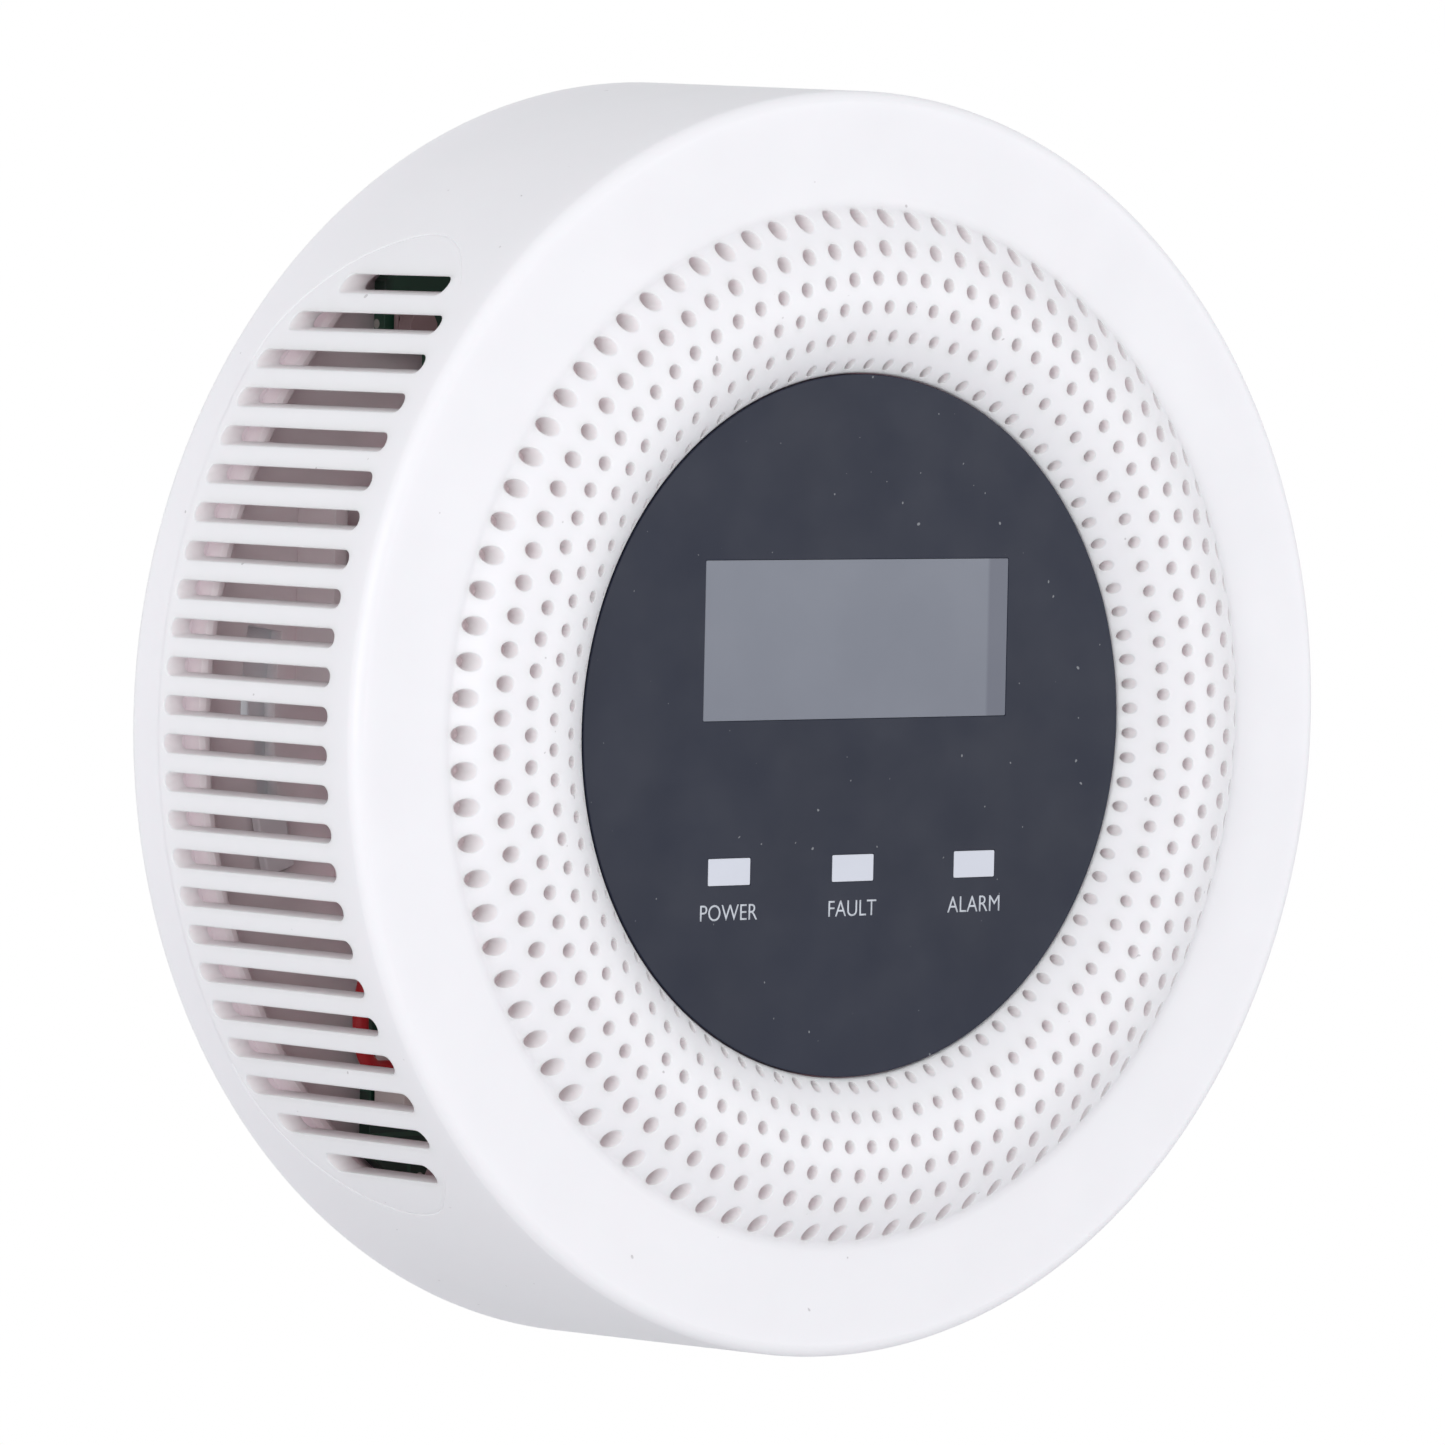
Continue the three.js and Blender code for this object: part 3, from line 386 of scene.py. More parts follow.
def new_object(name, points, faces, materials, face_materials=None, normals=None):
    """A mesh object from alarm-frame points. normals, where given, has one normal per face corner."""
    mesh = bpy.data.meshes.new(name)
    mesh.from_pydata(put(points).tolist(), [], faces)
    for m in materials:
        mesh.materials.append(m)
    if face_materials is not None:
        mesh.polygons.foreach_set("material_index", np.asarray(face_materials, np.int32))
    mesh.polygons.foreach_set("use_smooth", np.ones(len(mesh.polygons), bool))
    if normals is not None:
        n = np.asarray(normals, float)
        n = np.stack([n[:, 0], -n[:, 2], n[:, 1]], 1)
        n /= np.maximum(np.linalg.norm(n, axis=1, keepdims=True), 1e-12)
        mesh.normals_split_custom_set(n.tolist())
    mesh.update()
    return linked(name, mesh)


def settle(obj, body, slot, *nodes):
    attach(obj, body)
    if nodes:
        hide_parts(*nodes)


class Skin:
    """Points, faces and corner normals of one closed surface, gathered piece by piece."""

    def __init__(self):
        self.points, self.faces, self.materials, self.normals = [], [], [], []

    def add(self, points):
        start = len(self.points)
        self.points.extend(map(tuple, points))
        return list(range(start, len(self.points)))

    def face(self, corners, normals=None, material=0):
        self.faces.append(tuple(corners))
        self.materials.append(material)
        if normals is None:
            a, b, c = (np.array(self.points[i]) for i in (corners[0], corners[1], corners[-1]))
            flat = np.cross(b - a, c - a)
            normals = [flat] * len(corners)
        self.normals.extend(normals)

    def strip(self, low, high, low_normals=None, high_normals=None, material=0):
        """Quads between two closed rings with as many points each. high lies to the left of low."""
        n = len(low)
        for i in range(n):
            j = (i + 1) % n
            corners = (low[i], low[j], high[j], high[i])
            given = None
            if low_normals is not None:
                given = [low_normals[i], low_normals[j], high_normals[j], high_normals[i]]
            self.face(corners, given, material)

    def build(self, name, materials):
        return new_object(name, self.points, self.faces, materials, self.materials, self.normals)


def around(radius, z, count=AROUND, at=(0, 0), start=0.0):
    t = np.radians(start) + np.arange(count) * 2 * math.pi / count
    return np.stack([at[0] + radius * np.cos(t), at[1] + radius * np.sin(t), np.full(count, float(z))], 1)


def circle(x, y, radius, count):
    def outline(grow):
        return around(radius + grow, 0, count, (x, y))[:, :2]
    return outline


def rounded_box(x, y, width, height, corner, steps=4):
    def outline(grow):
        r = max(corner + grow, 0.01)
        hx, hy = width / 2 + grow - r, height / 2 + grow - r
        points = []
        for k, (sx, sy) in enumerate(((1, 1), (-1, 1), (-1, -1), (1, -1))):
            for i in range(steps + 1):
                t = math.radians(90 * k + 90 * i / steps)
                points.append((x + sx * hx + r * math.cos(t), y + sy * hy + r * math.sin(t)))
        return np.array(points)
    return outline


class Plan:
    """Flat points and the edges of closed loops through them, for triangles that keep every edge."""

    def __init__(self):
        self.points, self.edges = [], []

    def loop(self, ring):
        start, n = len(self.points), len(ring)
        self.points += map(tuple, ring)
        self.edges += [(start + i, start + (i + 1) % n) for i in range(n)]
        return list(range(start, start + n))

    def triangles(self):
        return triangulated(self.points, self.edges), np.array(self.points)


def fill(loops):
    """Triangles that fill the first loop and leave the others open, as indices into all their points."""
    plan = Plan()
    for loop in loops:
        plan.loop(loop)
    tri, flat = plan.triangles()
    middles = flat[tri].mean(1)
    keep = within(middles, loops[0])
    for loop in loops[1:]:
        keep &= ~within(middles, loop)
    return tri[keep].tolist()


def triangulated(points, edges):
    """Delaunay triangles over the points with the edges kept, each wound anticlockwise, without slivers."""
    _, _, faces, origin, _, _ = delaunay_2d_cdt([Vector(p) for p in points], edges, [], 0, 1e-7)
    back = np.array([o[0] for o in origin])
    tri = back[np.array([tuple(f) for f in faces])]
    flat = np.array([tuple(p) for p in points], float)
    a, b, c = flat[tri[:, 0]], flat[tri[:, 1]], flat[tri[:, 2]]
    area = (b[:, 0] - a[:, 0]) * (c[:, 1] - a[:, 1]) - (b[:, 1] - a[:, 1]) * (c[:, 0] - a[:, 0])
    tri, area = tri[np.abs(area) > 1e-9], area[np.abs(area) > 1e-9]
    tri[area < 0] = tri[area < 0][:, ::-1]
    return tri


def within(points, loop):
    """Which points lie inside a closed loop."""
    a = np.asarray(loop, float)
    b = np.roll(a, -1, 0)
    x, y = points[:, 0][:, None], points[:, 1][:, None]
    crosses = (a[:, 1] > y) != (b[:, 1] > y)
    rise = np.where(b[:, 1] == a[:, 1], 1.0, b[:, 1] - a[:, 1])
    at = a[:, 0] + (y - a[:, 1]) * (b[:, 0] - a[:, 0]) / rise
    return (crosses & (x < at)).sum(1) % 2 == 1


def slab(skin, outer, holes, z0, z1, ease, hole_ease=0.0, steps=3):
    """A plate between two heights whose rims and openings have rounded edges."""
    tops, top_ids, bottom_ids = [], [], []
    for k, outline in enumerate([outer, *holes]):
        sign, e = (-1, ease) if k == 0 else (1, hole_ease)
        flat = outline(0.01) - outline(-0.01)
        flat /= np.linalg.norm(flat, axis=1, keepdims=True)
        flat *= -sign
        angles = [-90 + 90 * i / steps for i in range(steps + 1)] + [90 * i / steps for i in range(steps + 1)]
        rings, normals = [], []
        for i, a in enumerate(angles):
            t = math.radians(a)
            inset = e * (1 - math.cos(t))
            z = (z0 + e + e * math.sin(t)) if i <= steps else (z1 - e + e * math.sin(t))
            ring = outline(sign * inset)
            rings.append(skin.add(np.column_stack([ring, np.full(len(ring), z)])))
            normals.append(np.column_stack([flat * math.cos(t), np.full(len(ring), math.sin(t))]))
        for a in range(len(rings) - 1):
            lower, upper = (a, a + 1) if k == 0 else (a + 1, a)
            skin.strip(rings[lower], rings[upper], normals[lower], normals[upper])
        top_ids += rings[-1]
        bottom_ids += rings[0]
        tops.append(outline(sign * e))
    for t in fill(tops):
        skin.face([top_ids[i] for i in t], [(0, 0, 1)] * 3)
        skin.face([bottom_ids[i] for i in t[::-1]], [(0, 0, -1)] * 3)


def turn(skin, profile, count, at=(0, 0), material=0, crease=35):
    """A closed profile of (radius, z) points, running up the outside, turned about an axis along Z."""
    p = np.array(profile, float)
    n = len(p)
    step = np.roll(p, -1, 0) - p
    normal = np.stack([step[:, 1], -step[:, 0]], 1)
    normal /= np.maximum(np.linalg.norm(normal, axis=1, keepdims=True), 1e-12)
    rings = [skin.add(around(r, z, count, at)) if r > 1e-6 else skin.add([(at[0], at[1], z)]) for r, z in p]
    t = np.arange(count) * 2 * math.pi / count
    soft = math.cos(math.radians(crease))

    def corner(i, k):
        other = (k - 1) % n if i == k else (k + 1) % n
        v = normal[k] + normal[other] if normal[k] @ normal[other] > soft else normal[k]
        return np.stack([v[0] * np.cos(t), v[0] * np.sin(t), np.full(count, v[1])], 1)

    for k in range(n):
        i, j = k, (k + 1) % n
        a, b = rings[i], rings[j]
        if len(a) == 1 and len(b) == 1:
            continue
        na, nb = corner(i, k), corner(j, k)
        for s in range(count):
            e = (s + 1) % count
            if len(a) == 1:
                skin.face((a[0], b[e], b[s]), [na[s], nb[e], nb[s]], material)
            elif len(b) == 1:
                skin.face((a[s], a[e], b[0]), [na[s], na[e], nb[s]], material)
            else:
                skin.face((a[s], a[e], b[e], b[s]), [na[s], na[e], nb[e], nb[s]], material)


def eased(profile, ease=0.2, steps=3):
    """The same closed profile with each sharp corner off the axis rounded."""
    p = [np.array(q, float) for q in profile]
    out = []
    for k, q in enumerate(p):
        a, b = p[k - 1] - q, p[(k + 1) % len(p)] - q
        la, lb = np.linalg.norm(a), np.linalg.norm(b)
        if q[0] < 1e-6 or la < 1e-9 or lb < 1e-9 or a @ b / (la * lb) < -0.9:
            out.append(tuple(q))
            continue
        e = min(ease, la * 0.4, lb * 0.4)
        start, end = q + a / la * e, q + b / lb * e
        for i in range(steps + 1):
            t = i / steps
            out.append(tuple((1 - t) ** 2 * start + 2 * t * (1 - t) * q + t**2 * end))
    return out


def tube(skin, path, radius, sides):
    """A round tube along a path of points, closed at both ends."""
    p = np.asarray(path, float)
    tangents = np.gradient(p, axis=0)
    tangents /= np.linalg.norm(tangents, axis=1, keepdims=True)
    side = np.cross(tangents[0], (0.3, 0.5, 0.8))
    side /= np.linalg.norm(side)
    t = np.arange(sides) * 2 * math.pi / sides
    rings, normals = [], []
    for q, along in zip(p, tangents):
        side = side - along * (side @ along)
        side /= np.linalg.norm(side)
        other = np.cross(along, side)
        n = np.outer(np.cos(t), side) + np.outer(np.sin(t), other)
        rings.append(skin.add(q + radius * n))
        normals.append(n)
    for i in range(len(rings) - 1):
        skin.strip(rings[i], rings[i + 1], normals[i], normals[i + 1])
    skin.face(rings[0][::-1], [-tangents[0]] * sides)
    skin.face(rings[-1], [tangents[-1]] * sides)


def through(points, per_span):
    """A smooth path through the points (centripetal Catmull-Rom)."""
    p = [np.array(q, float) for q in points]
    p = [2 * p[0] - p[1], *p, 2 * p[-1] - p[-2]]
    out = []
    for i in range(1, len(p) - 2):
        knots = [0.0]
        for a, b in zip(p[i - 1:i + 2], p[i:i + 3]):
            knots.append(knots[-1] + max(np.linalg.norm(b - a), 1e-6) ** 0.5)
        for s in range(per_span):
            t = knots[1] + (knots[2] - knots[1]) * s / per_span
            level = p[i - 1:i + 3]
            for spans in (((0, 1), (1, 2), (2, 3)), ((0, 2), (1, 3)), ((1, 2),)):
                ends = [(knots[lo], knots[hi]) for lo, hi in spans]
                level = [((hi - t) * level[j] + (t - lo) * level[j + 1]) / (hi - lo)
                         for j, (lo, hi) in enumerate(ends)]
            out.append(level[0])
    out.append(p[-2])
    return np.array(out)


# Blocks cut out of pieces, low and high corner: no board shows between the upper clip and the inductor.
NOTCHES = {"main_board": ((-40, 21.5, 3), (-30.2, span("inductor")[0].y - 0.4, 12))}


def softened(node, material, slot, width, segments):
    """The CAD node's own solid with its flat faces joined up and every real edge rounded."""
    source = frame["nodes"][node]
    bm = bmesh.new()
    bm.from_mesh(source.data)
    bmesh.ops.remove_doubles(bm, verts=bm.verts, dist=2e-6)
    bmesh.ops.dissolve_limit(bm, angle_limit=math.radians(0.6), verts=bm.verts, edges=bm.edges)
    bm.verts.index_update()
    points = [tuple(v.co) for v in bm.verts]
    faces = [tuple(v.index for v in f.verts) for f in bm.faces]
    bm.free()
    mesh = bpy.data.meshes.new(node)
    mesh.from_pydata(points, [], faces)
    mesh.materials.append(material)
    mesh.polygons.foreach_set("use_smooth", np.ones(len(mesh.polygons), bool))
    mesh.update()
    obj = linked(node + "_soft", mesh)
    if node in NOTCHES:
        (x0, y0, z0), (x1, y1, z1) = NOTCHES[node]
        block = Skin()

        def outline(e):
            return np.array([(x0 - e, y0 - e), (x1 + e, y0 - e), (x1 + e, y1 + e), (x0 - e, y1 + e)])
        slab(block, outline, [], z0, z1, 0.1)
        cutter = new_object("cutter", block.points, block.faces, [])
        cut = obj.modifiers.new("notch", "BOOLEAN")
        cut.operation, cut.solver, cut.object = "DIFFERENCE", "EXACT", cutter
        done = obj.evaluated_get(bpy.context.evaluated_depsgraph_get())
        obj.data = bpy.data.meshes.new_from_object(done)
        obj.modifiers.clear()
        bpy.data.objects.remove(cutter)
    edge = obj.modifiers.new("edges", "BEVEL")
    edge.width = width * MM
    edge.segments = segments
    edge.limit_method = "ANGLE"
    edge.angle_limit = math.radians(34)
    edge.harden_normals = True
    edge.miter_outer = "MITER_ARC"
    settle(obj, source["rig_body"], slot, node)


# ---------------------------------------------------------------- front shell
def wall_radius(z):
    return R_FRONT + DRAFT * (RING - FILLET - z) / (RING - FILLET - BACK)


def wall_inner(z):
    return wall_radius(z) - WALL


FOOT_FILLET = 0.8
foot_reach = math.sqrt((BULGE_R + FOOT_FILLET) ** 2 - (RING + FOOT_FILLET - BULGE_Z) ** 2)
foot_centre = BULGE_MID + foot_reach
foot_touch = BULGE_MID + foot_reach * BULGE_R / (BULGE_R + FOOT_FILLET)


def face_height(r):
    """Height and slope of the front's outer surface: the flat ring, the foot's fillet, then the bulge."""
    r = np.asarray(r, float)
    off = r - BULGE_MID
    arc = np.sqrt(np.maximum(BULGE_R**2 - off**2, 1e-9))
    rise = np.sqrt(np.maximum(FOOT_FILLET**2 - (r - foot_centre) ** 2, 1e-9))
    z = np.where(r >= foot_centre, RING, np.where(r > foot_touch, RING + FOOT_FILLET - rise, BULGE_Z + arc))
    slope = np.where(r >= foot_centre, 0.0, np.where(r > foot_touch, (r - foot_centre) / rise, -off / arc))
    return z, slope


def face_normal(p):
    r = np.hypot(p[:, 0], p[:, 1])
    slope = face_height(r)[1]
    return np.stack([-slope * p[:, 0] / r, -slope * p[:, 1] / r, np.ones(len(r))], 1)


def under_height(r):
    inner = BULGE_R - WALL
    off = np.abs(np.asarray(r, float) - BULGE_MID)
    arc = BULGE_Z + np.sqrt(np.maximum(inner**2 - off**2, 0))
    return np.where(off >= inner, RING_UNDER, np.maximum(arc, RING_UNDER))


def unit(v):
    v = np.asarray(v, float)
    return v / np.maximum(np.linalg.norm(v, axis=-1, keepdims=True), 1e-12)


# The steps of an opening's rounded lip: how far inward and how far down each lies, as parts of the lip.
LIP = [(math.sin(math.radians(a)), 1 - math.cos(math.radians(a))) for a in (30, 60, 90)]


def perforated_face(skin, opening, rim):
    """The bulge with its round holes, between the points round the opening and those on the flat ring."""
    r_in = np.hypot(*skin.points[opening[0]][:2])
    r_out = np.hypot(*skin.points[rim[0]][:2])
    holes = []
    for row, (radius, width, first) in enumerate(HOLE_ROWS):
        for i in range(HOLES_IN_ROW):
            t = math.radians(first + 360 * i / HOLES_IN_ROW)
            holes.append((radius * math.cos(t), radius * math.sin(t), width / 2, 0.05 + 0.05 * width, row))
    centres = np.array([(h[0], h[1]) for h in holes])
    reach = np.array([h[2] + h[3] for h in holes])

    plan = Plan()
    plan.loop([skin.points[i][:2] for i in opening])
    rim_loop = plan.loop([skin.points[i][:2] for i in rim])
    root_loop = plan.loop(around(LEDGE_ROOT, 0)[:, :2])
    hole_loops = []
    for x, y, w, lip, row in holes:
        ring = around(w + lip, 0, 20 if row < 4 else 16, (x, y), math.degrees(math.atan2(y, x)))
        hole_loops.append(plan.loop(ring[:, :2]))
    for r in [*np.arange(r_in + 0.35, r_out - 0.9, 0.62), 47.2]:
        count = 6 * int(2 * math.pi * r / 0.62 / 6)
        spots = around(r, 0, count, start=0.31)[:, :2]
        far = np.linalg.norm(spots[:, None] - centres[None], axis=2) - reach[None]
        keep = (far.min(1) > 0.2) & (abs(r - LEDGE_ROOT) > 0.2)
        plan.points += map(tuple, spots[keep])
    tri, flat = plan.triangles()
    mid = flat[tri].mean(1)
    r_mid = np.hypot(mid[:, 0], mid[:, 1])
    inside = np.zeros(len(tri), bool)
    for start in range(0, len(tri), 4000):
        part = mid[start:start + 4000]
        inside[start:start + 4000] = (
            np.linalg.norm(part[:, None] - centres[None], axis=2) < reach[None] * 0.985).any(1)
    kept = ~inside & (r_mid > r_in * 0.9999) & (r_mid < r_out)
    tri, r_mid = tri[kept], r_mid[kept]

    r = np.hypot(flat[:, 0], flat[:, 1])
    heights = face_height(r)[0]
    ids = list(opening) + list(rim) + skin.add(np.column_stack([flat, heights])[2 * AROUND:])
    ids = np.array(ids)
    normals = face_normal(np.column_stack([flat, heights]))
    for t in tri:
        skin.face(ids[t].tolist(), normals[t])

    # the underside, over the ledge's root and outward, with each hole at its own width
    under = flat.copy()
    for (x, y, w, lip, _), loop in zip(holes, hole_loops):
        under[loop] = (under[loop] - (x, y)) * w / (w + lip) + (x, y)
    below = r > LEDGE_ROOT - 1e-6
    under_ids = np.full(len(flat), -1)
    chosen = np.where(below)[0]
    under_z = under_height(np.hypot(under[:, 0], under[:, 1]))
    under_ids[chosen] = skin.add(np.column_stack([under, under_z])[chosen])
    for t in tri[r_mid > LEDGE_ROOT]:
        skin.face(under_ids[t[::-1]].tolist(), None, 1)

    for (x, y, w, lip, row), loop in zip(holes, hole_loops):
        outward = unit(flat[loop] - (x, y))
        wall_normal = np.column_stack([-outward, np.zeros(len(loop))])
        top = [ids[i] for i in loop]
        rings, ring_normals = [top], [unit(normals[loop])]
        for s, k in LIP:
            at = (x, y) + outward * (w + lip * (1 - s))
            z = face_height(np.hypot(at[:, 0], at[:, 1]))[0] - lip * k
            rings.append(skin.add(np.column_stack([at, z])))
            ring_normals.append(unit(unit(normals[loop]) * (1 - s) + wall_normal * s))
        for i in range(len(rings) - 1):
            skin.strip(rings[i], rings[i + 1], ring_normals[i], ring_normals[i + 1])
        if row < 5:
            foot = under_ids[loop].tolist()
            skin.strip(rings[-1], foot, wall_normal, wall_normal, 2)
        else:
            low = face_height(math.hypot(x, y))[0] - 1.9
            foot = skin.add(np.column_stack([(x, y) + outward * w * 0.96, np.full(len(loop), low)]))
            skin.strip(rings[-1], foot, wall_normal, wall_normal, 2)
            skin.face(foot, [(0, 0, 1)] * len(foot), 2)
    return under_ids[root_loop].tolist(), under_ids[rim_loop].tolist()


ZONE = 52  # the louvred sides lie within this many degrees of +X and -X
WALL_LEAN = DRAFT / (RING - FILLET - BACK)
SQUEEZED = 29.5  # above this height the inner face's levels are squeezed in under the front
WALL_LEVELS = [RING - FILLET, 27.0, 22.0, 17.0, 12.0, 7.0, 3.5, BACK + EDGE]


def inner_level(z):
    """The wall's inner face stops at the front's underside, below the fillet that its outer face reaches."""
    top = RING - FILLET
    return z if z <= SQUEEZED else SQUEEZED + (z - SQUEEZED) * (RING_UNDER - SQUEEZED) / (top - SQUEEZED)


def inner_angle(degrees, z):
    """The inner face's angle for a column of the outer face: straight in along X on the louvred sides."""
    t = math.radians(degrees % 360)
    r, ri = wall_radius(z), wall_inner(inner_level(z))
    if min(degrees % 180, 180 - degrees % 180) <= ZONE + 1e-6:
        y = r * math.sin(t) / ri
        a = math.asin(max(-1, min(1, y)))
        return a if math.cos(t) > 0 else math.pi - a
    edge = math.asin(r * math.sin(math.radians(ZONE)) / ri)
    middle = math.pi / 2 if degrees % 360 < 180 else 3 * math.pi / 2
    return middle + (t - middle) * (math.pi / 2 - edge) / math.radians(90 - ZONE)


def louvre(row):
    """Middle, half length between the end arcs' centres, for one slot, in (y, z)."""
    from_end = min(row, SLOTS - 1 - row)
    high = RING - SLOT_TOP - {0: 3.6, 1: 1.0}.get(from_end, 0)
    low = RING - SLOT_FOOT + {0: 4.9, 1: 1.5}.get(from_end, 0)
    y = SLOT_MIDDLE + SLOT_PITCH * ((SLOTS - 1) / 2 - row)
    return y, low + SLOT_HALF, high - SLOT_HALF


def louvre_outline(row, grow, arcs=8, sides=9):
    y, low, high = louvre(row)
    r = SLOT_HALF + grow
    points = []
    for k, z in ((0, high), (1, low)):
        for i in range(arcs + 1):
            t = math.pi * (i / arcs - k)
            points.append((y + r * math.cos(t), z + r * math.sin(t)))
        for i in range(1, sides):
            s = i / sides
            points.append((y - r, high + (low - high) * s) if k == 0 else (y + r, low + (high - low) * s))
    return np.array(points)


WITNESS = [  # the shallow line around the louvres, (y, z)
    (32, 4.8), (35.0, 5.2), (37.3, 6.2), (39.3, 7.6), (41.3, 9.8), (42.7, 12.6), (43.5, 15.4), (43.7, 18.2),
    (42.9, 21.5), (41.5, 24.0), (39.9, 26.0), (37.4, 28.1), (34.5, 29.1), (20, 29.2), (0, 29.2), (-20, 29.2),
    (-34.5, 29.1), (-37.6, 28.0), (-40.0, 26.0), (-41.8, 23.8), (-43.4, 20.9), (-44.0, 17.4), (-43.6, 13.7),
    (-42.3, 10.4), (-40.0, 7.8), (-37.4, 6.1), (-34.5, 5.1), (-31, 4.8), (-15, 4.8), (0, 4.8), (15, 4.8),
]


def witness_path():
    p = through(WITNESS + WITNESS[:3], 8)
    n = len(WITNESS) * 8
    return p[8:8 + n]


def clear(spot, curves, gap):
    """True where the spot is further than the gap from every point of the curves."""
    return np.linalg.norm(np.concatenate(curves) - spot, axis=1).min() > gap


def louvred_side(skin, side, outer_edge, outer_ids, inner_ids):
    """One louvred side. outer_edge lists (y, z) along its border, where the points are made already."""
    groove = witness_path()
    along = np.roll(groove, -1, 0) - np.roll(groove, 1, 0)
    across = unit(np.stack([along[:, 1], -along[:, 0]], 1))
    depth = np.clip((27.5 - groove[:, 1]) / 4, 0, 1) * GROOVE_DEEP
    plan = Plan()
    plan.loop(outer_edge)
    slot_rims = [louvre_outline(row, SLOT_LIP) for row in range(SLOTS)]
    slot_loops = [plan.loop(ring) for ring in slot_rims]
    lines = [groove + across * shift for shift in (-GROOVE_HALF, 0.0, GROOVE_HALF)]
    line_loops = [plan.loop(line) for line in lines]
    for y in np.arange(-44.5, 44.6, 1.0):
        plan.points += [(y, z) for z in (2.4, 3.6, 30.3) if clear((y, z), lines, 0.35)]
    for row in range(SLOTS + 1):
        y = SLOT_MIDDLE + SLOT_PITCH * (SLOTS / 2 - row)
        plan.points += [(y, z) for z in np.arange(6.5, 28.9, 2.0)
                        if clear((y, z), lines, 0.5) and clear((y, z), slot_rims, 0.4)]
    tri, flat = plan.triangles()
    mid = flat[tri].mean(1)
    keep = np.ones(len(tri), bool)
    for row in range(SLOTS):
        y, low, high = louvre(row)
        z = np.clip(mid[:, 1], low, high)
        keep &= np.hypot(mid[:, 0] - y, mid[:, 1] - z) > (SLOT_HALF + SLOT_LIP) * 0.995
    tri = tri[keep]
    if side < 0:
        tri = tri[:, ::-1]

    sunk = np.zeros(len(flat))
    sunk[line_loops[1]] = depth
    levels = np.array([inner_level(z) for z in flat[:, 1]])
    x = side * np.sqrt((wall_radius(flat[:, 1]) - sunk) ** 2 - flat[:, 0] ** 2)
    outer = np.column_stack([x, flat[:, 0], flat[:, 1]])
    n_edge = len(outer_edge)
    ids = np.array(list(outer_ids) + skin.add(outer[n_edge:]))
    radial = unit(outer * (1, 1, 0))
    normals = unit(radial + (0, 0, WALL_LEAN))
    in_groove = np.array([groove_depth(flat[t].mean(0), groove, depth) for t in tri]) > 0.01
    for t, cut in zip(tri, in_groove):
        skin.face(ids[t].tolist(), None if cut else normals[t])

    inner = flat.copy()
    for row, loop in enumerate(slot_loops):
        inner[loop] = louvre_outline(row, -SLOT_TAPER) + (SLOT_RISE, 0)
    xi = side * np.sqrt(wall_inner(levels) ** 2 - inner[:, 0] ** 2)
    z_inner = np.array([inner_level(z) for z in inner[:, 1]])
    inside = np.array(list(inner_ids) + skin.add(np.column_stack([xi, inner[:, 0], z_inner])[n_edge:]))
    in_normals = -unit(np.column_stack([xi, inner[:, 0], np.zeros(len(inner))]))
    for t in tri:
        skin.face(inside[t[::-1]].tolist(), in_normals[t[::-1]], 1)

    for row, loop in enumerate(slot_loops):
        y, low, high = louvre(row)
        ring = flat[loop]
        centre = np.column_stack([np.full(len(loop), y), np.clip(ring[:, 1], low, high)])
        out = unit(ring - centre)
        wall_normal = np.column_stack([np.zeros(len(loop)), -out])
        rings, ring_normals = [ids[loop].tolist()], [normals[loop]]
        for s, k in LIP:
            at = centre + out * (SLOT_HALF + SLOT_LIP * (1 - s))
            xo = side * (np.sqrt(wall_radius(at[:, 1]) ** 2 - at[:, 0] ** 2) - SLOT_LIP * k)
            rings.append(skin.add(np.column_stack([xo, at])))
            ring_normals.append(unit(normals[loop] * (1 - s) + wall_normal * s))
        rings.append(inside[loop].tolist())
        ring_normals.append(wall_normal)
        for i in range(len(rings) - 1):
            a, b = (i, i + 1) if side > 0 else (i + 1, i)
            material = 2 if i == len(rings) - 2 else 0
            skin.strip(rings[a], rings[b], ring_normals[a], ring_normals[b], material)


def groove_depth(spot, groove, depth):
    gap = np.linalg.norm(groove - spot, axis=1)
    i = gap.argmin()
    return depth[i] if gap[i] < 0.30 and perpendicular(spot, groove, i) < 0.128 else 0.0


def perpendicular(spot, groove, i):
    a, b = groove[i - 1], groove[(i + 1) % len(groove)]
    d = unit(b - a)
    v = spot - groove[i]
    return abs(v[0] * d[1] - v[1] * d[0])


